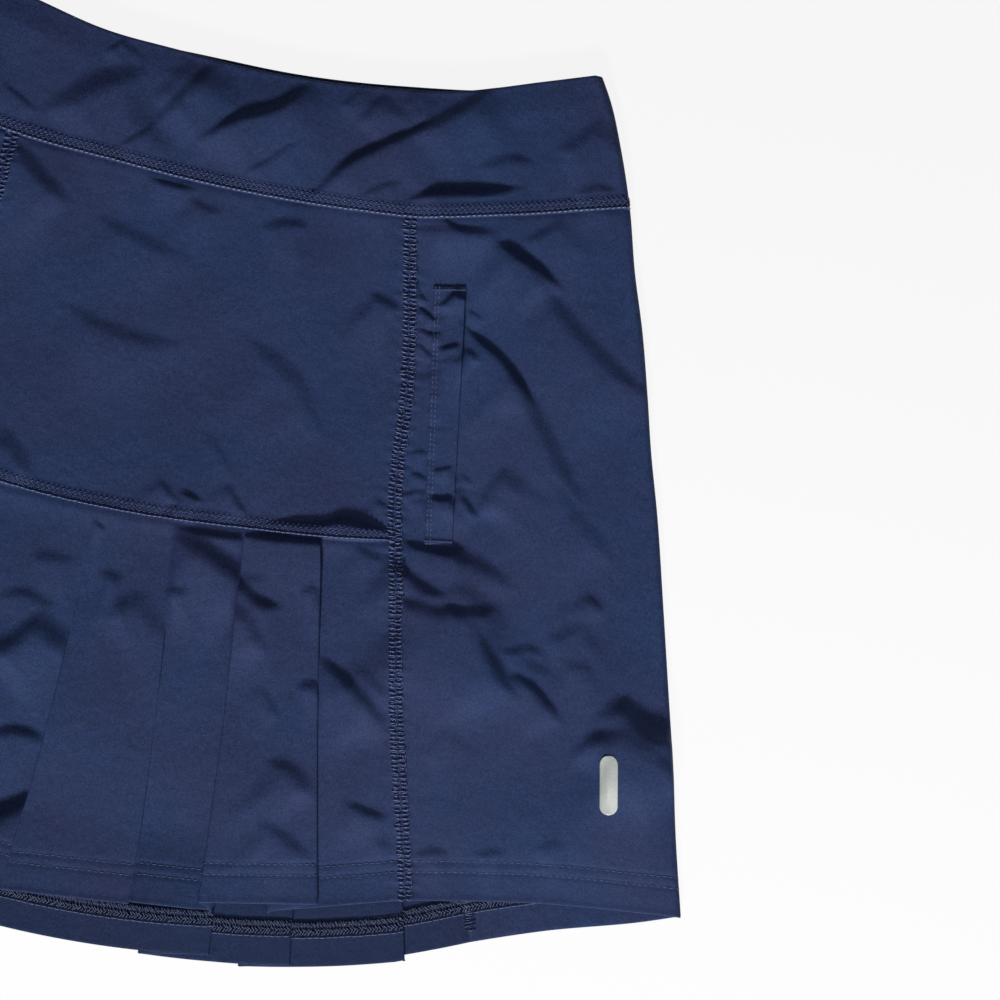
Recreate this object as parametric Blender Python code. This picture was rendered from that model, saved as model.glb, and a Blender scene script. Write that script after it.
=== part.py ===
"""A women's tennis skort laid flat, front up: a pleated skirt with short leggings sewn inside.

The garment lies in the XY plane, waist towards +Y, its back on the ground at z = 0.
Sizes are in millimetres, measured across (x) and up (y) from the middle of the front waist seam.
Every piece of cloth is a wall: a middle surface worked out from the cut, moved out half a wall each way.
"""

import math
from collections import namedtuple

import bmesh
import bpy
import numpy as np

MM = 0.001
ORIGIN_UP = 155.535  # from the waist seam down to the middle of the whole length

CLOTH = 1.0  # wall of the skirt and the shorts
BAND = 1.5  # wall of the waistband, which is doubled
GAP = 0.3  # between pieces, and between the layers of a pleat
STEP = CLOTH + GAP  # from one layer of a pleat to the next
LAID_HEIGHT = 7.5  # of the skirt as it lies, away from the pleats
HEM_HEIGHT = 4.9  # of the front where only the back flounce is under it
BAND_RETURN = 2.0  # of the front band, round on to the back
CROTCH = -225.0
LEG_HEM = -295.0

RUN_CLEAR = 1.5  # from a fold to where the next run starts to rise or sink
LONGEST_FACET = 15.0
BEND_PARTS = 6  # facets round a side fold
PLEAT_PARTS = 3  # facets round a pleat's fold
SHORTS_BEND_PARTS = 4


def smooth(t):
    t = min(max(t, 0.0), 1.0)
    return t * t * (3 - 2 * t)


def curve(columns, *rows):
    """A smooth line through a table's points, as a function of its first column."""
    at, value = np.array(rows, float).T
    slope = np.gradient(value, at)

    def read(t):
        t = min(max(t, at[0]), at[-1])
        i = min(int(np.searchsorted(at, t, side="right")) - 1, len(at) - 2)
        span = at[i + 1] - at[i]
        s = (t - at[i]) / span
        bow = slope[i] * s * (1 - s) ** 2 - slope[i + 1] * s * s * (1 - s)
        return value[i] + (value[i + 1] - value[i]) * smooth(s) + span * bow

    read.columns = columns
    return read


# The outline as the garment lies, front and back.
WAIST_EDGE = curve(
    ("x", "y"), (-182, 84.5), (-153, 74.5), (-101, 62.5), (-68, 55.4), (-17, 52.8), (35, 52.9), (84.5, 57.8),
    (124, 64.7), (153, 74.5), (182, 84.5),
)  # fmt: skip
WAIST_SEAM = curve(
    ("x", "y"), (-208.5, 23), (-148.5, 6), (-107, -3), (-45, -7.5), (8, -9.3), (72.5, -7), (108.5, -3.5),
    (148.5, 6), (208.5, 23),
)  # fmt: skip
SIDE_EDGE = curve(
    ("y", "x"), (-318, 308), (-281.5, 298), (-237.8, 287), (-208.8, 279), (-165.4, 267), (-122, 254.7),
    (-93.2, 245.5), (-64.3, 237.3), (-35.5, 228.6), (-7, 218.5), (21.8, 209.8), (50.3, 199.1),
    (73.6, 188.6), (84.5, 182),
)  # fmt: skip
PRINCESS_RIGHT = curve(
    ("y", "x"), (-338, 171), (-324.5, 168), (-280.5, 156), (-245.5, 147), (-191, 135.5), (-143, 124.5),
    (-85, 118.5), (-8, 103.5),
)  # fmt: skip
PRINCESS_LEFT = curve(
    ("y", "x"), (-338, -171), (-280.5, -156), (-191, -135.5), (-143, -124.5), (-85, -112), (-41, -101.5),
    (-3, -99.5),
)  # fmt: skip
PRINCESS_BACK = curve(("y", "x"), (-352, 207), (-250, 173), (-165, 148), (-85, 131.5), (-8, 118))
YOKE_SEAM = curve(
    ("x", "y"), (-150, -158.5), (-110, -169), (-65, -176.5), (-15.5, -178), (55, -173.5), (110, -167.2),
    (150, -160),
)  # fmt: skip
FRONT_SIDE_HEM = curve(("x", "y"), (171, -338.5), (238, -326), (308, -318))
BACK_SIDE_HEM = curve(("x", "y"), (178, -365), (207, -352.8), (241, -340), (292, -324), (308, -318))
SHORTS_ROWS = (20.0, -30.0, -70.0, -110.0, -132.0, -156.0, -190.0, -221.0, CROTCH, -245.0, -270.0, LEG_HEM)
SHORTS_SIDE = curve(("y", "x"), (LEG_HEM, 212), (-235, 222), (-160, 227), (-60, 221), (20, 198))
SHORTS_INSEAM = curve(("y", "x"), (LEG_HEM, 9), (-260, 5), (CROTCH, 0.5))

# Each knife pleat: where its fold and its hidden back edge lie at the seam, half way and at the hem, and
# the height of the hem at both. A pleat that faces right has its left strip over its right one.
Pleat = namedtuple("Pleat", "faces fold_top fold_mid fold_hem back_top back_hem y_fold y_back")
FRONT_PLEATS = (
    Pleat("right", -93.0, -110.0, -128.5, -111.0, -153.5, -349.5, -358.0),
    Pleat("right", -58.5, -73.0, -88.0, -77.0, -110.0, -360.0, -367.0),
    Pleat("right", -19.5, -21.0, -27.0, -37.0, -47.0, -371.2, -377.2),
    Pleat("right", 19.0, 30.5, 36.5, 1.5, 17.0, -369.0, -369.5),
    Pleat("left", 54.0, 63.5, 70.0, 62.0, 78.5, -361.0, -363.5),
    Pleat("right", 93.0, 110.0, 129.0, 76.0, 104.0, -349.5, -358.5),
)
BACK_PLEATS = (
    Pleat("right", -104.0, -122.0, -140.0, -122.0, -168.0, -378.5, -371.0),
    Pleat("right", -70.0, -82.0, -95.0, -88.0, -122.0, -387.0, -383.0),
    Pleat("right", -36.0, -43.0, -50.0, -54.0, -76.0, -393.0, -389.5),
    Pleat("right", 60.0, 71.0, 81.5, 42.0, 45.6, -387.0, -391.5),
    Pleat("right", 92.0, 107.0, 122.0, 73.0, 96.0, -382.5, -388.5),
    Pleat("right", 130.0, 153.0, 178.0, 111.0, 147.0, -368.3, -376.5),
)
BACK_HEM_BOW = 0.001  # per mm: between two pleats the hem drops by this much times the way to each of them
ROWS_DOWN_PLEATS = (0.0, 0.14, 0.3, 0.5, 0.66, 0.78, 0.89, 1.0)

# The largest folds of the front: from one end to the other, how far the cloth rises and how wide it is.
Fold = namedtuple("Fold", "x_a y_a x_b y_b rise half_width")
LARGEST_FOLDS = (
    Fold(-8.0, 17.0, 40.5, 27.5, 1.4, 12.0),
    Fold(52.5, -3.0, 125.5, 64.0, 1.6, 13.0),
    Fold(152.0, -10.5, 230.5, -62.5, 1.6, 15.0),
    Fold(163.0, -70.0, 196.5, -100.0, 1.8, 15.0),
    Fold(141.5, -193.5, 231.0, -235.5, 1.8, 16.0),
    Fold(70.0, -60.0, 101.0, -48.0, 1.0, 16.0),
    Fold(-150.0, -14.0, -225.0, -70.0, 1.5, 16.0),
    Fold(-150.0, -190.0, -236.0, -228.0, 1.6, 16.0),
)

# The right-hand pocket welt's corners: down its stitched side and down its open mouth.
WELT_STITCHED = ((122.0, -36.5), (144.0, -162.0))
WELT_MOUTH = ((137.0, -33.3), (157.0, -160.0))

# The cloth's colours, in linear light.
NAVY = (0.025, 0.042, 0.107)
NAVY_WELT = (0.022, 0.036, 0.094)
SHORTS_NAVY = (0.020, 0.031, 0.080)


def fold_rise(x, y):
    """How far the front's largest folds lift it at this place."""
    highest = 0.0
    for fold in LARGEST_FOLDS:
        along = np.array((fold.x_b - fold.x_a, fold.y_b - fold.y_a))
        length = float(np.hypot(*along))
        along /= length
        dx, dy = x - fold.x_a, y - fold.y_a
        down = dx * along[0] + dy * along[1]
        aside = abs(dx * along[1] - dy * along[0])
        ends = smooth(down / fold.half_width + 0.5) * smooth((length - down) / fold.half_width + 0.5)
        highest = max(highest, fold.rise * ends * smooth(1 - aside / fold.half_width))
    return highest * smooth((SIDE_EDGE(y) - abs(x) - LAID_HEIGHT) / 25)


def yoke_swell(x, y):
    """The lower edge of the yoke lies on the pleats' three layers."""
    return 2 * STEP * smooth((126 - abs(x)) / 34) * smooth((y + 110) / -52)


def front_top(y):
    """Top of the front's lowest layer: it sinks at the hem, below the shorts."""
    return HEM_HEIGHT + (LAID_HEIGHT - HEM_HEIGHT) * smooth((y + 341) / 28)


def between(a, b, t):
    return a + (b - a) * t


def place(u, v, left, right, top, bottom):
    """A point in the plan: u across from left to right, v down from top to bottom."""
    x, y = 0.0, -100.0
    for _ in range(12):
        x = between(left(y), right(y), u)
        y = between(top(x), bottom(x), v)
    return x, y


def shares(parts):
    return [i / parts for i in range(parts + 1)]


def inside_seam(seam, side):
    """A seam's line, half a gap in from it; side is 1 where the piece ends at its right."""
    return lambda y: seam(y) - side * GAP / 2


def above_waist_seam(x):
    return WAIST_SEAM(x) + GAP / 2


def below_waist_seam(x):
    return WAIST_SEAM(x) - GAP / 2


# Solids from middle surfaces


def walls_of(middle, wall, closed):
    """Both faces of a wall, from its middle surface: rows of points, each row a path seen along Y."""
    outer, inner = [], []
    for row in middle:
        count = len(row)
        normals = []
        for i in range(count - 1 if not closed else count):
            step = row[(i + 1) % count] - row[i]
            flat = np.array((-step[2], 0.0, step[0]))
            normals.append(flat / np.linalg.norm(flat))
        for i, point in enumerate(row):
            if closed:
                before, after = normals[i - 1], normals[i]
            else:
                before, after = normals[max(i - 1, 0)], normals[min(i, count - 2)]
            out = (before + after) / (1 + float(before @ after))
            outer.append(point + out * wall / 2)
            inner.append(point - out * wall / 2)
    return outer, inner


def cloth_piece(name, middle, wall, material, closed=False, kept=lambda row, column: True):
    """One closed solid round a middle surface, as a named object."""
    rows, columns = len(middle), len(middle[0])
    outer, inner = walls_of(middle, wall, closed)
    across = columns if closed else columns - 1
    quads = []
    for r in range(rows - 1):
        for c in range(across):
            if kept(r, c):
                n = (c + 1) % columns
                quads.append((r * columns + c, r * columns + n, (r + 1) * columns + n, (r + 1) * columns + c))
    edges = {(q[i], q[(i + 1) % 4]) for q in quads for i in range(4)}
    total = rows * columns
    faces = list(quads) + [tuple(i + total for i in reversed(q)) for q in quads]
    faces += [(b, a, a + total, b + total) for a, b in edges if (b, a) not in edges]

    net = bmesh.new()
    points = [net.verts.new(np.array(p) * MM) for p in outer + inner]
    for face in faces:
        net.faces.new([points[i] for i in face])
    bmesh.ops.delete(net, geom=[v for v in net.verts if not v.link_faces], context="VERTS")
    bmesh.ops.recalc_face_normals(net, faces=net.faces)
    mesh = bpy.data.meshes.new(name)
    net.to_mesh(mesh)
    net.free()
    mesh.shade_smooth()
    mesh.set_sharp_from_angle(angle=math.radians(40))
    mesh.materials.append(material)
    piece = bpy.data.objects.new(name, mesh)
    piece.location = (0.0, ORIGIN_UP * MM, 0.0)
    bpy.context.scene.collection.objects.link(piece)
    return piece


def fabric(name, colour, roughness):
    material = bpy.data.materials.new(name)
    material.use_nodes = True
    shader = material.node_tree.nodes["Principled BSDF"]
    shader.inputs["Base Color"].default_value = (*colour, 1.0)
    shader.inputs["Roughness"].default_value = roughness
    shader.inputs["Metallic"].default_value = 0.0
    return material


def bend(upper, y_lower, radius, low, parts, side):
    """Points round a fold, from the upper layer's last point to the lower layer; side is 1 at the right."""
    points = []
    for s in shares(parts)[1:-1]:
        turn = math.pi * s
        x = upper[0] + side * radius * math.sin(turn)
        points.append(np.array((x, between(upper[1], y_lower, s), low + radius * (1 + math.cos(turn)))))
    return points


# Pieces


def waistband_front(material):
    """The front band, which goes round both side folds and a little way on to the back."""
    radius = (LAID_HEIGHT - BAND) / 2

    def inside(y):
        return SIDE_EDGE(y) - LAID_HEIGHT / 2

    middle = []
    for v in shares(4):
        flat = []
        for u in shares(22):
            x, y = place(u, v, lambda y: -inside(y), inside, WAIST_EDGE, above_waist_seam)
            flat.append(np.array((x, y, LAID_HEIGHT - BAND / 2 + fold_rise(x, y))))
        first, last = flat[0], flat[-1]
        right = bend(last, last[1], radius, BAND / 2, BEND_PARTS, 1)
        left = bend(first, first[1], radius, BAND / 2, BEND_PARTS, -1)
        back_right = [np.array((last[0] - inwards, last[1], BAND / 2)) for inwards in (0, BAND_RETURN)]
        back_left = [np.array((first[0] + inwards, first[1], BAND / 2)) for inwards in (0, BAND_RETURN)]
        middle.append(back_left[::-1] + left[::-1] + flat + right + back_right)
    return cloth_piece("waistband_front", middle, BAND, material)


def waistband_back(material):
    def inside(y):
        return SIDE_EDGE(y) - LAID_HEIGHT / 2 - BAND_RETURN - GAP

    middle = []
    for v in shares(3):
        row = [place(u, v, lambda y: -inside(y), inside, WAIST_EDGE, above_waist_seam) for u in shares(22)]
        middle.append([np.array((x, y, BAND / 2)) for x, y in row])
    return cloth_piece("waistband_back", middle, BAND, material)


def front_yoke(material):
    middle = []
    for v in shares(12):
        row = []
        for u in shares(18):
            x, y = place(
                u,
                v,
                inside_seam(PRINCESS_LEFT, -1),
                inside_seam(PRINCESS_RIGHT, 1),
                below_waist_seam,
                lambda x: YOKE_SEAM(x) + GAP / 2,
            )
            row.append(np.array((x, y, LAID_HEIGHT - CLOTH / 2 + fold_rise(x, y) + yoke_swell(x, y))))
        middle.append(row)
    return cloth_piece("front_yoke", middle, CLOTH, material)


def back_yoke(material):
    middle = []
    for v in shares(8):
        row = [
            place(
                u,
                v,
                inside_seam(lambda y: -PRINCESS_BACK(y), -1),
                inside_seam(PRINCESS_BACK, 1),
                below_waist_seam,
                lambda x: YOKE_SEAM(x) + GAP / 2,
            )
            for u in shares(20)
        ]
        middle.append([np.array((x, y, CLOTH / 2)) for x, y in row])
    return cloth_piece("back_yoke", middle, CLOTH, material)


def side_panel(name, side, princess, material):
    """One piece from the front princess seam, round the side fold, to the back princess seam."""
    middle = []
    for v in shares(18):
        front, back = [], []
        for u in shares(9):
            x, y = place(
                u,
                v,
                lambda y: abs(princess(y)) + GAP / 2,
                lambda y: SIDE_EDGE(y) - front_top(y) / 2,
                below_waist_seam,
                FRONT_SIDE_HEM,
            )
            front.append(np.array((side * x, y, front_top(y) - CLOTH / 2 + fold_rise(side * x, y))))
        for u in shares(7):
            x, y = place(
                u,
                v,
                lambda y: SIDE_EDGE(y) - front_top(y) / 2,
                lambda y: PRINCESS_BACK(y) + GAP / 2,
                below_waist_seam,
                BACK_SIDE_HEM,
            )
            back.append(np.array((side * x, y, CLOTH / 2)))
        radius = (front[-1][2] - CLOTH / 2) / 2
        fold = bend(front[-1], back[0][1], radius, CLOTH / 2, BEND_PARTS, side)
        row = front + fold + back
        middle.append(row if side == 1 else row[::-1])
    return cloth_piece(name, middle, CLOTH, material)


def stops_along(pleats, seams, seam_hem, hem_bow):
    """The zigzag through a flounce's pleats, as stops on its runs and folds from left to right.
    A stop's line is its x at the top, half way and at the hem, and the height of the hem there."""

    def line(x_top, x_mid, x_hem, y_hem):
        return np.array((x_top, x_mid, x_hem, y_hem))

    def seam_line(seam):
        x_top, y_top = place(0, 0, seam, seam, YOKE_SEAM, YOKE_SEAM)
        return line(x_top, seam((y_top + seam_hem) / 2), seam(seam_hem), seam_hem)

    first, last = (seam_line(seam) for seam in seams)
    turns = []
    for pleat in pleats:
        fold = line(pleat.fold_top, pleat.fold_mid, pleat.fold_hem, pleat.y_fold)
        bow = pleat.fold_mid - (pleat.fold_top + pleat.fold_hem) / 2
        back = line(pleat.back_top, (pleat.back_top + pleat.back_hem) / 2 + bow, pleat.back_hem, pleat.y_back)
        turns.append((fold, back, 2, 0) if pleat.faces == "right" else (back, fold, 0, 2))
    turns.append((last, None, 0, 0))

    stops = []
    start, layer, covered = first, 0, None
    for right, left, enters, leaves in turns:

        def on_run(stop):
            share = (stop[2] - start[2]) / (right[2] - start[2])
            return line(*stop[:3], between(start[3], right[3], share))

        marks = [(start, layer)]
        if covered is not None:
            marks.append((on_run(covered + RUN_CLEAR), layer))
        if left is not None:
            marks.append((on_run(left - RUN_CLEAR), enters))
        marks.append((right, enters))
        for (here, low), (there, high) in zip(marks, marks[1:]):
            parts = max(1, math.ceil((there[2] - here[2]) / LONGEST_FACET))
            for s in shares(parts)[(1 if here is start and start is not first else 0) : -1]:
                point = between(here, there, s)
                point[3] -= hem_bow * (point[2] - start[2]) * (right[2] - point[2])
                stops.append(("run", point, between(low, high, s)))
        if left is None:
            stops.append(("run", last, 0))
        else:
            stops += [("fold at right", right, (enters, 1)), ("fold at left", left, (1, leaves))]
        start, layer, covered = left, leaves, right
    return stops


def pleated_path(v, stops, seams, height):
    """One row of a flounce, at share v of the way down; height gives the middle of its lowest layer."""
    radius = STEP / 2
    path = []
    for number, (kind, (x_top, x_mid, x_hem, y_hem), layers) in enumerate(stops):
        x = x_top * (1 - v) * (1 - 2 * v) + 4 * x_mid * v * (1 - v) + x_hem * v * (2 * v - 1)
        y = between(YOKE_SEAM(x_top) - GAP / 2, y_hem, v)
        if number in (0, len(stops) - 1):
            x = seams[min(number, 1)](y)
        if kind == "run":
            path.append(np.array((x, y, height(y) + STEP * layers)))
            continue
        side = 1 if kind == "fold at right" else -1
        centre = x - side * (radius + CLOTH / 2)
        for s in shares(PLEAT_PARTS):
            turn = math.pi * s
            layer = between(*layers, (1 - math.cos(turn)) / 2)
            round_x = centre + side * radius * math.sin(turn)
            round_y = between(YOKE_SEAM(x_top + round_x - x) - GAP / 2, y_hem, v)
            path.append(np.array((round_x, round_y, height(y) + STEP * layer)))
    return path


def flounce(name, pleats, seams, seam_hem, height, material, hem_bow=0.0):
    """A pleated strip under a yoke, between two princess seams that reach down to seam_hem."""
    stops = stops_along(pleats, seams, seam_hem, hem_bow)
    middle = [pleated_path(v, stops, seams, height) for v in ROWS_DOWN_PLEATS]
    return cloth_piece(name, middle, CLOTH, material)


def pocket_welt(name, side, material):
    """A narrow strip on the side panel, made from the panel's own heights."""
    middle = []
    for v in shares(6):
        a = [between(p, q, v) for p, q in zip(*WELT_STITCHED)]
        b = [between(p, q, v) for p, q in zip(*WELT_MOUTH)]
        row = []
        for u in shares(2):
            x, y = (between(p, q, u) for p, q in zip(a, b))
            z = front_top(y) + fold_rise(side * x, y) + GAP + CLOTH / 2
            row.append(np.array((side * x, y, z)))
        middle.append(row if side == 1 else row[::-1])
    return cloth_piece(name, middle, CLOTH, material)


def shorts_leg(name, side, material):
    """One leg of the shorts: sewn to the other along the rise, closed by its own seam below the crotch."""
    upper = LAID_HEIGHT - CLOTH - GAP - CLOTH / 2
    middle = []
    for level in SHORTS_ROWS:
        lower = between(CLOTH + GAP, 3 * STEP, smooth((level + 132) / -24)) + CLOTH / 2
        radius = (upper - lower) / 2
        inset = radius + CLOTH / 2
        outer_x = SHORTS_SIDE(level) - inset
        inner_x = GAP if level > CROTCH else SHORTS_INSEAM(level) + inset
        across = [between(inner_x, outer_x, u) for u in shares(10)]
        height = [WAIST_SEAM(x) - GAP if level == SHORTS_ROWS[0] else level for x in across]
        front = [np.array((side * x, y, upper)) for x, y in zip(across, height)]
        back = [np.array((side * x, y, lower)) for x, y in zip(across, height)]
        outside = bend(front[-1], front[-1][1], radius, lower, SHORTS_BEND_PARTS, side)
        inside = bend(front[0], front[0][1], radius, lower, SHORTS_BEND_PARTS, -side)
        row = front + outside + back[::-1] + inside[::-1]
        middle.append(row if side == 1 else row[::-1])
    columns, turned = len(middle[0]), SHORTS_BEND_PARTS
    inseam = range(columns - turned, columns) if side == 1 else [*range(turned - 1), columns - 1]

    def kept(row, column):
        return SHORTS_ROWS[row] <= CROTCH or column not in inseam

    return cloth_piece(name, middle, CLOTH, material, closed=True, kept=kept)


def build():
    for old in list(bpy.data.objects):
        bpy.data.objects.remove(old, do_unlink=True)

    navy = fabric("navy_woven_stretch", NAVY, 0.62)
    welt = fabric("navy_welt", NAVY_WELT, 0.62)
    knit = fabric("shorts_knit", SHORTS_NAVY, 0.75)

    waistband_front(navy)
    waistband_back(navy)
    front_yoke(navy)
    back_yoke(navy)
    side_panel("side_panel_right", 1, PRINCESS_RIGHT, navy)
    side_panel("side_panel_left", -1, PRINCESS_LEFT, navy)

    front_seams = (inside_seam(PRINCESS_LEFT, -1), inside_seam(PRINCESS_RIGHT, 1))
    back_seams = (inside_seam(lambda y: -PRINCESS_BACK(y), -1), inside_seam(PRINCESS_BACK, 1))
    front_hem, back_hem = FRONT_SIDE_HEM(171), BACK_SIDE_HEM(207)
    flounce("front_flounce", FRONT_PLEATS, front_seams, front_hem, lambda y: front_top(y) - CLOTH / 2, navy)
    flounce("back_flounce", BACK_PLEATS, back_seams, back_hem, lambda y: CLOTH / 2, navy, BACK_HEM_BOW)
    pocket_welt("pocket_welt_right", 1, welt)
    pocket_welt("pocket_welt_left", -1, welt)
    shorts_leg("shorts_leg_right", 1, knit)
    shorts_leg("shorts_leg_left", -1, knit)


build()
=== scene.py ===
# %% [markdown]
# # A tennis skort, laid flat
#
# A tennis skort is a short pleated skirt with leggings sewn inside. This one is navy, and it lies on a table
# with its front up. Each piece of cloth is made as a cutter would cut it: its outline comes from a few smooth
# curves, its outer face is a grid of points, and a thin wall behind that face makes it a real sheet of cloth.
# The whole lesson works in millimetres, measured across and up from the middle of the front waist seam,
# and turns them into metres only when a mesh is made.

import math
from collections import namedtuple

import bpy
import numpy as np
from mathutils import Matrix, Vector


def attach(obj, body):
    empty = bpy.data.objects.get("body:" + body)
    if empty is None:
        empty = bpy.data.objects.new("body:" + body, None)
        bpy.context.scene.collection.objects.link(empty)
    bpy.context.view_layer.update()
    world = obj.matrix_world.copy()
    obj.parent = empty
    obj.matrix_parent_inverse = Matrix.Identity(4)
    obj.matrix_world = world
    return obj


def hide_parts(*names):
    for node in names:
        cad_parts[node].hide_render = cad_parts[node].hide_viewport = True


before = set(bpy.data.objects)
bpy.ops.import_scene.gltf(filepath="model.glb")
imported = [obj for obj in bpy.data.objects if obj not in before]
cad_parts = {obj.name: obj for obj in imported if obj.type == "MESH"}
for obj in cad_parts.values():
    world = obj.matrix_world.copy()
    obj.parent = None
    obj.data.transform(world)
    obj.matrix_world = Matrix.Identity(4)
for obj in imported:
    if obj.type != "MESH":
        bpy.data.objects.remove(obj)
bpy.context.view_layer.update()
MM = 0.001
ORIGIN_UP = 155.535  # from the waist seam down to the middle of the whole length

# %% [markdown]
# ## The camera
#
# The garment is looked at from straight above, so close that only the right-hand two thirds fit. The camera
# could be orthographic, but a long lens keeps the slight perspective that a real lens gives to raised folds.
# The frame is half a metre wide, and the garment lies turned 12 degrees clockwise in it, so the camera turns
# the other way and the garment itself stays straight on its axes.

# %% Camera
FRAME_WIDTH = 0.5
LENS, SENSOR = 135.0, 36.0
TURN = math.radians(12)
AIM = (176.05, -133.3)  # the middle of the frame, in mm on the garment

camera = bpy.data.objects.new("camera", bpy.data.cameras.new("camera"))
camera.data.lens = LENS
camera.data.sensor_width = SENSOR
camera.location = (AIM[0] * MM, (AIM[1] + ORIGIN_UP) * MM, 0.0045 + FRAME_WIDTH * LENS / SENSOR)
camera.rotation_euler = (0, 0, TURN)
bpy.context.scene.collection.objects.link(camera)
bpy.context.scene.camera = camera
bpy.context.scene.view_settings.view_transform = "Standard"
print("camera is", round(camera.location.z, 3), "m above the table")

# %% [markdown]
# ## The light
#
# Folds in smooth cloth show by their shading alone, so one soft lamp stands low at the hem's side, a little
# to the left. A sun lamp with a wide disc gives the same light to every part of the garment, which an
# area lamp close by wouldn't. A pale world fills the shadows as a studio's white walls do.

# %% Light
KEY_LOW = math.radians(25)  # the lamp's height above the table
KEY_ROUND = math.radians(170)  # how far round it stands, anticlockwise from the frame's top
KEY_DISC = math.radians(9)
KEY_STRENGTH = 4.15
FILL_STRENGTH = 0.11
CARD_STRENGTH = 0.6  # watts, from a white card over the lower right corner

heading = TURN + KEY_ROUND
towards_lamp = Vector(
    (-math.sin(heading) * math.cos(KEY_LOW), math.cos(heading) * math.cos(KEY_LOW), math.sin(KEY_LOW))
)
key = bpy.data.objects.new("key_lamp", bpy.data.lights.new("key_lamp", "SUN"))
key.data.energy = KEY_STRENGTH
key.data.angle = KEY_DISC
key.rotation_euler = towards_lamp.to_track_quat("Z", "Y").to_euler()
bpy.context.scene.collection.objects.link(key)

bpy.ops.object.light_add(type="AREA", location=(0.34, -0.20, 0.55))
card = bpy.context.object
card.name = "white_card"
card.data.size = 0.4
card.data.energy = CARD_STRENGTH

world = bpy.data.worlds.new("studio_walls")
world.use_nodes = True
world.node_tree.nodes["Background"].inputs["Color"].default_value = (0.93, 0.96, 1.0, 1.0)
world.node_tree.nodes["Background"].inputs["Strength"].default_value = FILL_STRENGTH
bpy.context.scene.world = world
print("key lamp stands", round(math.degrees(KEY_LOW)), "degrees above the table")

# %% [markdown]
# ## Colours and nodes
#
# Colours are written as the hex values that a colour picker shows, and one function turns them into linear
# light. Materials could be wired by mouse in the node editor. Small functions that each add one kind of node
# do the same, so that each material below reads as a short list of what happens to the cloth.

# %% Colour and node helpers
def linear(hex_value):
    parts = [int(hex_value[i : i + 2], 16) / 255 for i in (0, 2, 4)]
    return (*(p / 12.92 if p <= 0.04045 else ((p + 0.055) / 1.055) ** 2.4 for p in parts), 1.0)


def plug(node, **inputs):
    """Fills inputs: each is a socket's name, with _ for a space, and a value or another node's output."""
    for name, value in inputs.items():
        number = name.removeprefix("input_")
        socket = node.inputs[int(number) if number.isdigit() else name.replace("_", " ")]
        if isinstance(value, bpy.types.NodeSocket):
            node.id_data.links.new(value, socket)
        else:
            socket.default_value = value
    return node


def add(tree, kind, settings=None, **inputs):
    made = tree.nodes.new("ShaderNode" + kind)
    for name, value in (settings or {}).items():
        setattr(made, name, value)
    return plug(made, **inputs)


def noise(tree, place, size, detail=2.0, roughness=0.5):
    """Soft patches of about this size."""
    made = add(tree, "TexNoise", Vector=place, Scale=1 / size, Detail=detail, Roughness=roughness)
    return made.outputs["Fac"]


def spread(tree, value, low, high, to_low=0.0, to_high=1.0):
    """Takes the values from low to high and spreads them from to_low to to_high."""
    ranges = {"From_Min": low, "From_Max": high, "To_Min": to_low, "To_Max": to_high}
    return add(tree, "MapRange", Value=value, **ranges).outputs["Result"]


def scaled(tree, vector, by):
    return add(tree, "VectorMath", {"operation": "SCALE"}, Vector=vector, Scale=by).outputs[0]


def calc(tree, operation, *values):
    """One step of arithmetic, such as SINE of one value or ADD of two."""
    inputs = {f"input_{k}": value for k, value in enumerate(values)}
    return add(tree, "Math", {"operation": operation}, **inputs).outputs[0]


def bump(tree, height, strength, distance, **more):
    return add(tree, "Bump", Height=height, Strength=strength, Distance=distance, **more).outputs[0]


def new_finish(name):
    material = bpy.data.materials.new(name)
    material.use_nodes = True
    tree = material.node_tree
    return material, tree, tree.nodes["Principled BSDF"]


print("navy in linear light:", [round(c, 4) for c in linear("2a3757")])

# %% [markdown]
# ## Woven polyester and elastane
#
# The skirt is a dense plain weave of fine polyester with some elastane, piece-dyed navy. It is smooth to the
# touch, and the eye gets a soft sheen from the flat filaments, a faint grain from the weave, and slow drifts
# between a bluer and a more purple navy. The weave is worked out from the cloth's own flat measure, so it
# runs along and across every piece as the real yarns do. Real yarns lie 0.25 mm apart; they are drawn 0.9 mm
# apart, because finer ones would vanish between two pixels.

# %% Woven cloth finish
YARN = 0.9 * MM
DRIFT = 55 * MM  # from one patch of colour to the next
MOTTLE = 2.4 * MM
SLUB = 0.8 * MM  # thick and thin places in the yarn
RUMPLE = 9 * MM  # the small unevenness of cloth that has been worn


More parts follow.
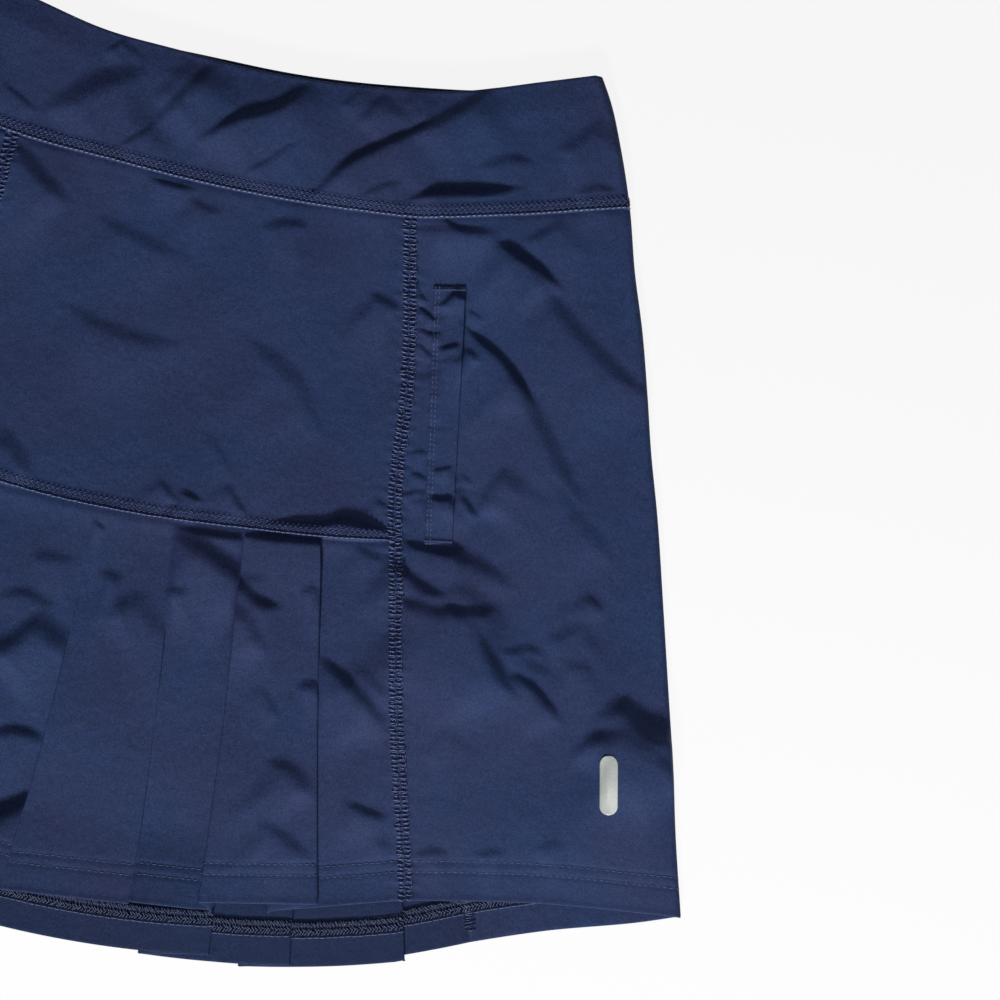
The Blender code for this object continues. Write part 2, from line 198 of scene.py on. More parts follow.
def woven_cloth(name, blue, purple, roughness):
    material, tree, shader = new_finish(name)
    cut = add(tree, "UVMap", {"uv_map": "cut"}).outputs["UV"]
    place = add(tree, "TexCoord").outputs["Object"]
    drift = noise(tree, place, DRIFT, 2.0, 0.45)
    mottle = noise(tree, place, MOTTLE, 4.0, 0.6)
    rumple = noise(tree, place, RUMPLE, 3.0, 0.5)
    slubs = noise(tree, place, SLUB, 2.0, 0.7)

    hue = spread(tree, drift, 0.34, 0.66)
    navy = add(tree, "Mix", {"data_type": "RGBA"}, Factor=hue, input_6=linear(blue), input_7=linear(purple))
    shade = spread(tree, mottle, 0.3, 0.7, 0.88, 1.12)
    speckle = spread(tree, slubs, 0.3, 0.7, 0.62, 1.38)
    tinted = scaled(tree, navy.outputs[2], calc(tree, "MULTIPLY", shade, speckle))

    yarns = add(tree, "SeparateXYZ", Vector=scaled(tree, cut, 2 * math.pi / YARN))
    weave = calc(tree, "MULTIPLY", *(calc(tree, "SINE", yarns.outputs[axis]) for axis in "XY"))
    woven = scaled(tree, tinted, spread(tree, weave, -1.0, 1.0, 0.93, 1.07))

    worn = bump(tree, rumple, 1.0, 0.55 * MM)
    relief = bump(tree, weave, 0.6, 0.05 * MM, Normal=worn)
    gloss = spread(tree, mottle, 0.0, 1.0, roughness - 0.06, roughness + 0.06)
    plug(shader, Base_Color=woven, Normal=relief, Roughness=gloss, IOR=1.5, Specular_IOR_Level=0.2)
    plug(shader, Sheen_Weight=0.05, Sheen_Roughness=0.4, Sheen_Tint=linear("8c9cc8"))
    return material


SHELL_CLOTH = woven_cloth("navy_woven_polyester_elastane", "263860", "2a345a", 0.72)
BACK_CLOTH = woven_cloth("navy_woven_cloth_inside", "1f3054", "222d50", 0.76)
print("cloth finishes:", SHELL_CLOTH.name, "and", BACK_CLOTH.name)

# %% [markdown]
# ## Stretch knit
#
# The shorts inside are a fine jersey of nylon and elastane, more matt than the skirt. Its loops stand in
# columns, so the eye gets narrow lengthwise ribs. They are drawn 1 mm apart, twice their real size.

# %% Knit finish
WALE = 1.0 * MM


def stretch_knit(name, hex_value):
    material, tree, shader = new_finish(name)
    cut = add(tree, "UVMap", {"uv_map": "cut"}).outputs["UV"]
    ribs = add(tree, "SeparateXYZ", Vector=scaled(tree, cut, 2 * math.pi / WALE))
    wale = calc(tree, "SINE", ribs.outputs["X"])
    dyed = scaled(tree, linear(hex_value)[:3], spread(tree, wale, -1.0, 1.0, 0.8, 1.15))
    loops = bump(tree, wale, 0.8, 0.12 * MM)
    plug(shader, Base_Color=dyed, Normal=loops, Roughness=0.75, Sheen_Weight=0.1)
    return material


SHORTS_KNIT = stretch_knit("navy_stretch_jersey", "222c4c")
print("knit finish:", SHORTS_KNIT.name)

# %% [markdown]
# ## Sewing thread
#
# The needle thread is smooth polyester, dyed to match but glossier than the cloth, so a stitch shows as a
# small spark. The looper thread inside the hems is textured, paler and dull. Two plies twist round each
# other, which the slanting bump along each stitch shows.

# %% Thread finish
PLY = 0.35  # of a stitch's length, from one turn of the ply to the next
SMOOTH_THREAD, FLUFFY_THREAD = 0.42, 0.8  # roughness


def sewing_thread(name, hex_value, gloss=0.5):
    material, tree, shader = new_finish(name)
    along = add(tree, "UVMap", {"uv_map": "stitch"}).outputs["UV"]
    split = add(tree, "SeparateXYZ", Vector=along)
    slant = calc(tree, "ADD", calc(tree, "DIVIDE", split.outputs["X"], PLY), split.outputs["Y"])
    ply = calc(tree, "SINE", calc(tree, "MULTIPLY", slant, 2 * math.pi))
    dyed = scaled(tree, linear(hex_value)[:3], spread(tree, ply, -1.0, 1.0, 0.7, 1.25))
    twist = bump(tree, ply, 0.5, 0.08 * MM)
    roughness = SMOOTH_THREAD if gloss > 0.2 else FLUFFY_THREAD
    plug(shader, Base_Color=dyed, Normal=twist, Roughness=roughness, Specular_IOR_Level=gloss)
    return material


NAVY_THREAD = sewing_thread("navy_polyester_thread", "4c5988")
PALE_THREAD = sewing_thread("navy_looper_thread", "737e9f")
DARK_THREAD = sewing_thread("navy_needle_thread", "2c3864")
# painted shade: near-black tubes under the hem braid stand in for the shade at the turned-up hem's raw edge
PAINTED_SHADE_THREAD = sewing_thread("painted_shade_under_hem_braid", "10162c", 0.1)
BRAID_THREAD = sewing_thread("navy_looper_thread_textured", "6b7698", 0.15)
print("threads:", NAVY_THREAD.name, PALE_THREAD.name, DARK_THREAD.name)

# %% [markdown]
# ## The cut
#
# A pattern cutter draws a panel's edges as a few long curves through measured points. The same is done here:
# each curve is a short table of two columns, and a smooth line is drawn through its points. The numbers are
# the ones that the solid model was made from, so each cloth piece lies exactly where its solid lies.

# %% Curves through measured points
def smooth(t):
    t = np.clip(t, 0.0, 1.0)
    return t * t * (3 - 2 * t)


def between(a, b, t):
    return a + (b - a) * t


def through(value, slope, i, s, span=1.0):
    """A smooth line's value at a share s of the way from its point i to the next."""
    bow = slope[i] * s * (1 - s) ** 2 - slope[i + 1] * s * s * (1 - s)
    return value[i] + (value[i + 1] - value[i]) * smooth(s) + span * bow


def curve(*rows):
    """A smooth line through a table's points, as a function of its first column."""
    at, value = np.array(rows, float).T
    slope = np.gradient(value, at)

    def read(t):
        t = np.clip(t, at[0], at[-1])
        i = np.clip(np.searchsorted(at, t, side="right") - 1, 0, len(at) - 2)
        span = at[i + 1] - at[i]
        return through(value, slope, i, (t - at[i]) / span, span)

    return read


WAIST_EDGE = curve(  # x, y
    (-182, 84.5), (-153, 74.5), (-101, 62.5), (-68, 55.4), (-17, 52.8), (35, 52.9), (84.5, 57.8),
    (124, 64.7), (153, 74.5), (182, 84.5),
)  # fmt: skip
WAIST_SEAM = curve(  # x, y
    (-208.5, 23), (-148.5, 6), (-107, -3), (-45, -7.5), (8, -9.3), (72.5, -7), (108.5, -3.5),
    (148.5, 6), (208.5, 23),
)  # fmt: skip
SIDE_EDGE = curve(  # y, x
    (-318, 308), (-281.5, 298), (-237.8, 287), (-208.8, 279), (-165.4, 267), (-122, 254.7),
    (-93.2, 245.5), (-64.3, 237.3), (-35.5, 228.6), (-7, 218.5), (21.8, 209.8), (50.3, 199.1), (73.6, 188.6),
    (84.5, 182),
)  # fmt: skip
PRINCESS_RIGHT = curve(  # y, x
    (-338, 171), (-324.5, 168), (-280.5, 156), (-245.5, 147), (-191, 135.5), (-143, 124.5),
    (-85, 118.5), (-8, 103.5),
)  # fmt: skip
PRINCESS_LEFT = curve(  # y, x
    (-338, -171), (-280.5, -156), (-191, -135.5), (-143, -124.5), (-85, -112), (-41, -101.5),
    (-3, -99.5),
)  # fmt: skip
PRINCESS_BACK = curve((-352, 207), (-250, 173), (-165, 148), (-85, 131.5), (-8, 118))  # y, x
YOKE_SEAM = curve(  # x, y
    (-150, -158.5), (-110, -169), (-65, -176.5), (-15.5, -178), (55, -173.5), (110, -167.2),
    (150, -160),
)  # fmt: skip
FRONT_SIDE_HEM = curve((171, -338.5), (238, -326), (308, -318))  # x, y
BACK_SIDE_HEM = curve((178, -365), (207, -352.8), (241, -340), (292, -324), (308, -318))  # x, y
print("waist seam, y in the middle and at the side:", WAIST_SEAM(0.0).round(1), WAIST_SEAM(208.5).round(1))

# %% [markdown]
# ## How high the cloth lies
#
# The back lies flat on the table, the shorts lie on it, and the front lies on the shorts, 7.5 mm up. A hem
# sinks where nothing but the back is under it, and the yoke's lower edge lies on the three layers of each
# pleat. Some air stays under the front, so it stands a little higher between its seams and waves slowly.

# %% Heights of the laid cloth
CLOTH = 1.0  # the solid's wall
BAND = 1.5
GAP = 0.3
STEP = CLOTH + GAP
LAID_HEIGHT = 7.5
HEM_HEIGHT = 4.9
AIR = 1.3
WOVEN_WALL = 0.45  # the real cloth, one layer
LAYER = 0.6  # from one layer of a real pleat to the next
BACK_UP = 0.25  # the back's outer face above the table
HEM_LINE, HEM_SINK = -341, 56  # where the front is lowest, and how far up it has sunk
PLEATS_HALF, PLEATS_FADE = 126, 34  # the pleats end this far from the middle, and fade in over this much
SWELL_START, SWELL_RAMP = -110, 52
AIR_START, AIR_RAMPS = -336, (26, 90, 16)  # the ramps from the sides, the hem and the waist edge


def front_top(y):
    """Top of the front's lowest layer: it sinks at the hem, below the shorts."""
    return HEM_HEIGHT + (LAID_HEIGHT - HEM_HEIGHT) * smooth((y - HEM_LINE) / HEM_SINK)


def over_pleats(x):
    """1 over the pleats, 0 near the princess seams."""
    return smooth((PLEATS_HALF - np.abs(x)) / PLEATS_FADE)


def yoke_swell(x, y):
    """The lower edge of the yoke lies on the pleats' three layers."""
    return 2 * LAYER * over_pleats(x) * smooth((SWELL_START - y) / SWELL_RAMP)


def air_under(x, y):
    """Air lifts the front between its edges, in slow uneven waves."""
    from_side, from_hem, from_waist = AIR_RAMPS
    inside = smooth((SIDE_EDGE(y) - np.abs(x) - 6) / from_side) * smooth((y - AIR_START) / from_hem)
    inside = inside * smooth((WAIST_EDGE(x) - y) / from_waist)
    waves = 0.24 * np.sin(x / 17 + y / 31 + 1.0) + 0.20 * np.sin(x / 26 - y / 15 + 2.4)
    waves += 0.10 * np.sin(x / 9.5 + y / 12 + 0.6) + 0.08 * np.sin(x / 12 - y / 8 + 4.0)
    return (AIR + waves) * inside


print("the front stands", LAID_HEIGHT, "to", LAID_HEIGHT + AIR, "mm above the table")

# %% [markdown]
# ## Creases
#
# Every crease is a line through a few points. On the left of someone who walks along it the cloth falls
# steeply over a band of so many millimetres, which turns away from the lamp and is dark. On the right it
# falls gently and is lit. The crease is highest and widest in its middle and thins out to both ends, as a
# spindle does. The pleats have creases that belong to one face of the strip and stop at its folds. A cloth
# simulation gives creases too, but not the ones of this garment, so they are given one by one.

# %% The crease tables
Crease = namedtuple("Crease", "steep band lit line")


def creases(*rows):
    """Creases from rows that give steep, band and lit, and then the points of the line."""
    return tuple(Crease(*row[:3], row[3:]) for row in rows)


BAND_CREASES = creases(
    (0.94, 2, 6, (-49.2, -1.8), (-42.2, 3.8), (-35.3, 9.9), (-30.7, 17)),
    (0.62, 6.5, 10, (-34.7, 11.5), (-28.9, 20.4), (-22.4, 31), (-14.5, 41.9), (-5.8, 54)),
    (0.35, 7, 9, (-36.3, 24), (-30.3, 34.4), (-23.2, 44.1), (-18.6, 51.3)),
    (1.03, 6.4, 13, (-12.3, 7.6), (-3, 16.7), (3.7, 23.3), (11.3, 28.5), (19.2, 32.2), (26.5, 36.3),
     (32.5, 41.7), (37.6, 46.8), (44.2, 54.4)),
    (0.8, 2.4, 5, (-64, 43.7), (-60.2, 47.5), (-53.9, 54)),
    (0.5, 13, 14, (-89.2, 8.6), (-76.4, 20.6), (-65.2, 30.1), (-52.3, 36.9), (-36.9, 41.2)),
    (0.6, 2.6, 6, (-112.3, 21.1), (-103.5, 15.8), (-96, 11.8), (-88.1, 7.9)),
    (0.6, 3.2, 8, (15.6, -3.8), (21.7, 3.6), (27.5, 7.9), (32.3, 14), (37.5, 18.2), (43, 21.4)),
    (0.98, 6, 14, (47.3, -8.4), (55.6, 0.6), (60.2, 7.7), (65.7, 15.5), (74.3, 23), (84.9, 30.8),
     (96.1, 38.3), (108.2, 46.5)),
    (0.6, 8, 12, (91.7, 35.3), (102.7, 43.3), (113.6, 52.3), (124.2, 62.7), (131.8, 69.9)),
    (0.6, 3, 6, (75.4, -1.3), (81.3, 4.5), (87.2, 8.3), (97, 12.4)),
    (1.07, 6, 14, (95.3, 1.3), (103.1, 5.6), (109.9, 9.6), (119.5, 12.6), (134.2, 15.7), (143.8, 18.3),
     (158.2, 22.9)),
    (0.4, 6, 10, (129, 25.4), (140.7, 33), (149.3, 35.8), (160.8, 34.7)),
    (0.4, 3, 4, (56.3, 40.6), (61.9, 47.9), (66.5, 55)),
    (0.5, 4.5, 6, (66, 33.4), (71.9, 43.9), (78.9, 54.6)),
    (0.3, 3, 4, (86.3, 48.5), (91.2, 54.1), (96.1, 60.3)),
    (0.35, 8, 10, (165.3, 42.3), (177.5, 52.1), (186, 65.1)),
    (0.4, 5, 6, (179.5, 23.8), (190, 29.6), (201.5, 30.6)),
    (1, 4, 12, (-158, 12), (-140, 36), (-124, 50)),
    (0.9, 4, 10, (-172, 34), (-149, 44), (-128, 60)),
)
YOKE_CREASES = creases(
    (0.5, 9, 12, (-99.7, -4.8), (-87, -16.4), (-78.5, -22.8), (-61.7, -34.6)),
    (0.85, 2.6, 4, (-30.6, -12.1), (-20.2, -13), (-12, -13.3), (-2.9, -12.9)),
    (0.5, 4, 7, (-7.9, -18), (1.2, -20.2), (12.3, -21.9)),
    (0.5, 6, 8, (28.6, -26.1), (39.6, -20.2), (47.4, -18.6), (57.8, -19.4)),
    (0.6, 6, 9, (89.9, -45.3), (99.5, -47.3), (109.6, -51.3)),
    (0.45, 9, 12, (-74.3, -148.2), (-63.9, -158.7), (-52, -171.5)),
    (0.85, 2.6, 5, (6.3, -157.1), (13.5, -162.2), (20, -168.5)),
    (0.7, 4, 6, (17.5, -161.9), (24.8, -162.4), (32.6, -165.3)),
    (0.98, 2.4, 4, (41, -151.8), (47.9, -160.5), (55.2, -168.2)),
    (1.03, 4, 18, (59.2, -170.4), (75.6, -165.9), (89.4, -163.5), (99.9, -159.7), (111.1, -159.4),
     (122.4, -160), (133.3, -162.8)),
    (0.8, 3.4, 9, (89.5, -164), (99.5, -157.8), (110.5, -156.9), (126.9, -161.6)),
    (0.8, 2, 4, (114.2, -145.4), (119.3, -147.4), (124.5, -150.4)),
    (0.3, 9, 13, (-59.9, -81.2), (-27.5, -89.7), (8.3, -89.7)),
    (0.3, 10, 14, (31.2, -77.2), (65.8, -95.4), (87.7, -126.5)),
    (0.3, 8, 12, (-54.4, -35.1), (-22.1, -42.5), (2.6, -48.5)),
    (0.45, 2.2, 4, (20.9, -129.5), (29.9, -133.7), (39.1, -143), (45.5, -153.9)),
)
SIDE_CREASES = creases(
    (0.94, 2, 5, (96.6, -9.6), (111.2, -8.6), (133.3, -4.4), (157.4, 2.8)),
    (1.03, 2.8, 12, (116, 0.1), (125.2, -4.6), (131.6, -5.8), (142.5, -4.5), (151.7, -4.1)),
    (1.03, 6.4, 12, (142.5, -6.5), (152.6, -8.5), (161, -11.8), (170.4, -15.4), (180.9, -21.4),
     (187.1, -26.7)),
    (0.45, 9, 16, (161.1, -14.8), (176.5, -24.8), (189, -35.5), (203.6, -46.7), (219.1, -56.7),
     (232.9, -64), (249.1, -72.8)),
    (1.05, 4.4, 13, (135.6, -48.9), (143.8, -53.8), (153, -58.5), (162.3, -63.6), (171, -71),
     (180.1, -80.3), (187.1, -89)),
    (0.55, 9, 14, (158.9, -62.3), (170, -71.2), (181.7, -83), (192.7, -96), (202.4, -108.3),
     (212, -119.5), (223.7, -131.4)),
    (0.3, 9, 14, (198.2, -117.3), (213.8, -130.4), (227.9, -141.7), (240.6, -153.3)),
    (0.3, 2, 5, (151.5, -73.1), (155.9, -86.5), (160, -108.1)),
    (0.8, 3.8, 6, (154, -132.9), (160.8, -138.6), (169.3, -145)),
    (0.5, 7, 10, (165.4, -145.8), (167.3, -135.2), (171.5, -124), (178.2, -114.4)),
    (0.5, 5, 8, (158, -5.3), (165.7, -0.6), (172.2, 4.9), (177.8, 12.2)),
    (1.03, 4, 8, (130.7, -160.3), (137.6, -164), (144.9, -164.5), (154.9, -163.9), (166.2, -158.9)),
    (0.85, 7, 9, (126.1, -172.5), (138.7, -178.6), (150, -183.8), (162.9, -186.7)),
    (0.4, 8, 10, (149.1, -189.1), (165.7, -181), (187.1, -185.1)),
    (1.09, 9.5, 17, (132.2, -191.7), (144.8, -193.1), (156.2, -193.7), (167.2, -192.4), (174.9, -190.3),
     (182.3, -186.7), (189.5, -182.1)),
    (1, 9.5, 19, (156.7, -186.5), (171.1, -196.7), (181.7, -205.7), (190.7, -214), (199.6, -222.4),
     (208.3, -229.7)),
    (1.07, 4, 8, (195.2, -216.1), (204.3, -218.3), (212.7, -221.6), (220.6, -227.6), (228.1, -233.7),
     (233.5, -237.6)),
    (0.7, 3.5, 6, (189.7, -207.1), (197.5, -205.4), (206, -202.1), (216, -205.6)),
    (0.4, 5, 8, (201.3, -208.7), (210.7, -209.8), (221, -214.7)),
    (0.94, 2.8, 5, (226.7, -169.6), (232.5, -172.9), (236.2, -175.7), (239.7, -180.1)),
    (0.4, 6, 9, (210.9, -198.5), (221.6, -191.1), (232.5, -182.6)),
    (0.4, 5, 8, (225, -204.7), (231.2, -205.4), (236.9, -203.2)),
    (0.96, 8.5, 11, (234.2, -257.9), (239.6, -247.1), (245.2, -239.7), (251.2, -236.9), (258.5, -237.4),
     (268.1, -239.5), (279.1, -242.8), (306.9, -253.7)),
    (0.75, 11, 12, (240.8, -236.1), (249, -226.2), (256.9, -220.4), (267, -224.4), (276.2, -229.1),
     (294.9, -230.7)),
    (0.89, 3, 4, (273, -233.3), (279, -233.1), (285.9, -231.6)),
    (0.45, 12, 24, (242.2, -232.7), (266.7, -232.6), (283.8, -236.1), (308, -244.3)),
    (0.5, 9, 18, (143.6, -163.2), (160, -163.8), (177, -166.8), (195.4, -176.2)),
    (0.35, 4, 7, (161.6, -267.2), (167.3, -260.4), (171.1, -254.5), (177.8, -247.4)),
    (0.5, 4, 6, (170, -316.6), (178.2, -311.7), (188.2, -310.6)),
    (0.45, 4, 6, (198.4, -310.5), (207.5, -305.5), (216.6, -304.6)),
    (0.45, 4, 6, (227.1, -301.4), (236.1, -295.4), (246.3, -295.2)),
)
WELT_CREASES = creases(
    (0.85, 1.8, 2.4, (112.1, -34.4), (116, -40.8), (121.6, -45.2)),
    (1.03, 2.2, 3, (114.2, -46.8), (119.2, -48.8), (123.3, -51), (128.5, -54)),
    (0.98, 2.2, 3, (115.6, -58.2), (121.3, -58.6), (125.5, -59.2), (132.2, -56.8)),
    (0.94, 1.9, 3, (117.5, -64.5), (121.9, -66.1), (125.6, -68.9), (130.1, -71)),
    (1.03, 2.4, 3, (128.2, -66.8), (134.2, -64), (141.7, -60.9)),
    (0.6, 1.8, 3, (131.5, -72.7), (135.6, -70.3), (139.5, -67)),
    (0.6, 4, 5, (142.6, -62.7), (148.2, -64.6), (153.1, -68.7)),
    (0.4, 2, 3, (121.2, -82.1), (126.4, -80), (130.6, -78.1)),
    (1.03, 2.6, 2.6, (124.7, -45.6), (128.6, -42.2), (130.9, -38.6), (133.4, -33.5)),
    (0.6, 2.6, 4, (138.7, -44.1), (143.9, -44.6), (150.8, -48.2)),
    (0.8, 1.8, 3, (126.3, -120.4), (131.8, -117.7), (137.6, -118.5)),
    (0.94, 2, 3, (137.7, -126.1), (144, -124.3), (149.9, -121)),
    (0.85, 2.2, 3, (127.7, -131.8), (132.8, -129.2), (140, -131.8)),
    (0.85, 1.8, 3, (127.5, -143.1), (132.2, -138.5), (139.3, -136)),
    (0.98, 3.2, 4, (140.4, -138.8), (147, -138.5), (153.6, -136)),
    (0.6, 2, 3, (153.7, -124.3), (158.2, -126.4), (162, -129.6)),
    (0.6, 2.2, 3, (151.4, -135), (155, -132.7), (159.4, -131.7)),
    (0.5, 2, 3, (130.4, -144.5), (135.1, -142.5), (140.1, -142)),
)
FACE_CREASES = {
    0: creases(
        (0.6, 5, 10, (-124, -246), (-104, -232), (-92, -214)),
    ),
    1: creases(
        (0.6, 6, 12, (-96, -322), (-84, -300), (-66, -286)),
    ),
    2: creases(
        (0.4, 6, 9, (-50.7, -211.1), (-38.4, -206.5), (-21.2, -205.9)),
        (0.5, 6, 9, (-61.4, -232.8), (-46.9, -226.7), (-36.1, -229.5), (-27.1, -230.7)),
        (0.8, 10, 10, (-61.4, -266.6), (-53.4, -256.2), (-45, -247.8), (-34, -232.1)),
        (0.8, 6, 30, (-53.9, -301.8), (-37.9, -295.3), (-27.6, -295.7), (-15.7, -298.8)),
        (1.07, 9, 25, (-64.8, -347), (-42.9, -339.3), (-31.9, -333.4), (-0.9, -311)),
        (1.16, 9, 22, (-62.7, -356.8), (-40.2, -346.9), (-31.2, -341.4), (-5.5, -322.7)),
        (1.07, 8, 18, (-59.1, -373.4), (-35.3, -360.7), (-27.3, -354.9), (-2.2, -338.3)),
    ),
    3: creases(
        (0.85, 2.6, 4, (-21.7, -184), (-17.7, -186.2), (-12.3, -189.7)),
        (0.5, 6, 9, (-13.4, -213.4), (-7.1, -209.5), (2.4, -211.1)),
        (0.35, 9, 12, (-7.9, -234.8), (2.6, -221.3), (15.2, -213.5)),
    ),
    4: creases(
        (0.94, 4.5, 7, (12.3, -180.4), (27.5, -179.7), (42.7, -179), (62.7, -177.3), (87.7, -174.6)),
        (0.82, 12, 13, (11.7, -182.5), (31.6, -185), (45.9, -189.6), (61.9, -197.4), (77.5, -208.4)),
        (0.8, 4, 5, (19.9, -216.1), (23.6, -212.2), (28.8, -210.1), (36, -210.1)),
        (0.13, 42, 20, (-3.6, -346.3), (26.6, -344), (49.2, -342.2), (81.6, -338.4), (111.6, -335.1)),
    ),
    5: creases(
        (1.09, 5.6, 14, (40.5, -178.5), (57.3, -175.9), (77.2, -173.2), (97.1, -170.5), (131.9, -166.2)),
        (0.6, 1.8, 4, (54.9, -198.4), (61.8, -196.9), (71.7, -195.4)),
        (0.89, 6.5, 9, (51.3, -195.6), (59.6, -201), (66.2, -205.7), (73.3, -207.8), (83.4, -207.2)),
        (0.5, 8, 10, (57.1, -208.7), (64.9, -216.2), (72.8, -224.8), (80.8, -233.3)),
        (0.8, 3, 4, (86.9, -199.8), (91.4, -196.8), (97.1, -194.6)),
        (0.8, 1.6, 1.6, (99.4, -222.2), (96.6, -211.5), (94.6, -199.7)),
        (0.85, 4, 5, (95.9, -246.9), (100.3, -243.5), (106.8, -240.5)),
        (0.7, 1.8, 4, (77.6, -247.3), (85.8, -256.8), (93.6, -264.8)),
        (0.55, 9, 10, (87.4, -283.5), (100.9, -284.7), (111.5, -291.2), (119.4, -299.7)),
        (0.5, 7, 9, (89.5, -312.7), (102.9, -318), (114.3, -323.8), (123.5, -328.5)),
        (0.94, 1.6, 5, (94.5, -181.3), (100.5, -210.7), (113, -269.4), (126.5, -333)),
    ),
    6: creases(
        (0.82, 6.5, 12, (97.3, -224.7), (112.2, -232.2), (122.7, -238.2), (132.3, -244.8),
         (139.8, -251.4), (149.4, -262.7)),
        (0.4, 6, 9, (122.3, -226.5), (135.3, -235), (145.4, -244.1)),
        (0.85, 4.6, 6, (129.9, -296), (138.4, -297.7), (145.9, -299.2), (157.3, -299.8)),
        (0.5, 3, 5, (149.4, -310.7), (154.9, -312.6), (161.6, -315.3)),
        (0.45, 5, 6, (108.4, -170.7), (116.8, -172), (126.7, -175.5)),
    ),
}


def across(crease, k):
    """The like of a right-hand crease on the left, a little weaker and a little higher or lower."""
    line = tuple((-x + 2 * math.sin(5 * k), y + 5 * math.sin(3 * k)) for x, y in reversed(crease.line))
    return Crease(crease.steep * (0.8 + 0.2 * math.cos(2 * k)), crease.band, crease.lit, line)


LEFT_CREASES = tuple(across(crease, k) for k, crease in enumerate(SIDE_CREASES + WELT_CREASES) if k % 4)
FRONT_CREASES = BAND_CREASES + YOKE_CREASES + SIDE_CREASES + WELT_CREASES + LEFT_CREASES
print(len(FRONT_CREASES), "creases on the front, and more on the pleats")

# %% [markdown]
# ## From a crease's line to its shape
#
# Sculpting by hand would do, but it can't be repeated. Here each point asks how far it is from the crease's
# line and on which side, and two smooth curves turn that into a height: a steep one and a gentle one.

# %% How a crease shapes the cloth
CREASE_HEIGHT = 0.6  # of its steepness times its band
CREASE_ENDS = 0.34  # share of its length over which a crease thins out
CREASE_TOP, CREASE_LIMIT = 5, 4  # mm: above the first number a fold sags, by never more than the second


def rounded(line, parts=6):
    """A smooth line through a crease's few points."""
    points = np.array(line, float)
    slope = np.gradient(points, axis=0)
    fine = np.linspace(0, len(points) - 1, (len(points) - 1) * parts + 1)
    i = np.minimum(fine.astype(int), len(points) - 2)
    return through(points, slope, i, (fine - i)[:, None])


def crease_rise(x, y, crease):
    """How far one crease lifts the cloth at these places."""
    line = rounded(crease.line)
    reach = crease.band + 4.6 * crease.lit
    near = (x > line[:, 0].min() - reach) & (x < line[:, 0].max() + reach)
    near &= (y > line[:, 1].min() - reach) & (y < line[:, 1].max() + reach)
    px, py = x[near], y[near]
    nearest, side = np.full(px.shape, np.inf), np.zeros(px.shape)
    best, at, weights = np.zeros(px.shape), np.zeros(px.shape), np.zeros(px.shape)
    walked = 0.0
    for a, b in zip(line, line[1:]):
        length = np.hypot(*(b - a))
        ahead = (b - a) / length
        along = np.clip((px - a[0]) * ahead[0] + (py - a[1]) * ahead[1], 0, length)
        away = np.hypot(px - a[0] - along * ahead[0], py - a[1] - along * ahead[1])
        leftwards = ahead[0] * (py - a[1]) - ahead[1] * (px - a[0])
        side = np.where(away < nearest, leftwards, side)
        nearest = np.minimum(away, nearest)
        weight = (away**2 + 0.1) ** -4.0  # close stretches of the line count, none takes over abruptly
        best, at, weights = best + weight * away, at + weight * (walked + along), weights + weight
        walked += length
    best, share = best / weights, at / weights / walked
    full = smooth(np.minimum(share, 1 - share) / CREASE_ENDS)
    half = 0.58 * crease.band * (0.25 + 0.75 * full)
    off = np.sign(side) * best + 0.24 * half
    gentle = 2.2 * crease.lit * (0.15 + 0.85 * full)
    beyond = np.maximum(-half - off, 0) / gentle
    rise = np.zeros(x.shape)
    rise[near] = CREASE_HEIGHT * crease.steep * crease.band * full
    rise[near] *= smooth((half - off) / (2 * half))
    rise[near] *= np.exp(-(beyond**2))
    return rise


def settled(rise):
    """A high fold sags under its own weight, so nothing stands more than 9 mm up."""
    sagged = CREASE_TOP + CREASE_LIMIT * np.tanh((rise - CREASE_TOP) / CREASE_LIMIT)
    return np.where(rise > CREASE_TOP, sagged, rise)


def front_relief(x, y, chosen=FRONT_CREASES):
    """Air and creases together: how far the front stands above where it would lie flat."""
    return settled(air_under(x, y) + sum(crease_rise(x, y, crease) for crease in chosen))


def uneven(s, pitch, phase):
    """An uneven ripple along a seam, from -1 to 1."""
    k = 2 * math.pi / pitch
    waves = np.sin(s * k + phase) + 0.7 * np.sin(s * k * 1.61 + 2.1 * phase)
    return (waves + 0.5 * np.sin(s * k * 0.53 - phase)) / 2.2


print("the front stands at most", CREASE_TOP + CREASE_LIMIT, "mm above where it would lie flat")

# %% [markdown]
# ## From a grid of points to a sheet of cloth
#
# A plane with a Solidify modifier would do for one panel, but a pleated strip doubles back on itself, so
# each sheet is built from its outer face: rows of points from the top down. The wall behind it follows the
# face's normals, and a small half round closes every edge, as cut or folded cloth has. The lengths along the
# rows and columns become the UV map, in metres, so the weave keeps its real size everywhere.

# %% Cloth from a grid
RIM_PARTS = 3  # points round each cut edge


def normals_of(grid, wrap=False):
    down = np.gradient(grid, axis=0)
    if wrap:
        across = (np.roll(grid, -1, axis=1) - np.roll(grid, 1, axis=1)) / 2
    else:
        across = np.gradient(grid, axis=1)
    normals = np.cross(down, across)
    return normals / np.maximum(np.linalg.norm(normals, axis=2, keepdims=True), 1e-9)


def lengths(grid, axis):
    steps = np.linalg.norm(np.diff(grid, axis=axis), axis=2)
    return np.concatenate([np.zeros_like(steps.take([0], axis)), np.cumsum(steps, axis)], axis)


def border_of(rows, columns, wrap):
    """The outline of a grid, as loops of (row, column), with the cloth on the left."""
    if wrap:
        return [[(rows - 1, c) for c in range(columns)], [(0, c) for c in reversed(range(columns))]]
    down = [(r, 0) for r in range(rows - 1)]
    right = [(rows - 1, c) for c in range(columns - 1)]
    up = [(r, columns - 1) for r in range(rows - 1, 0, -1)]
    left = [(0, c) for c in range(columns - 1, 0, -1)]
    return [down + right + up + left]


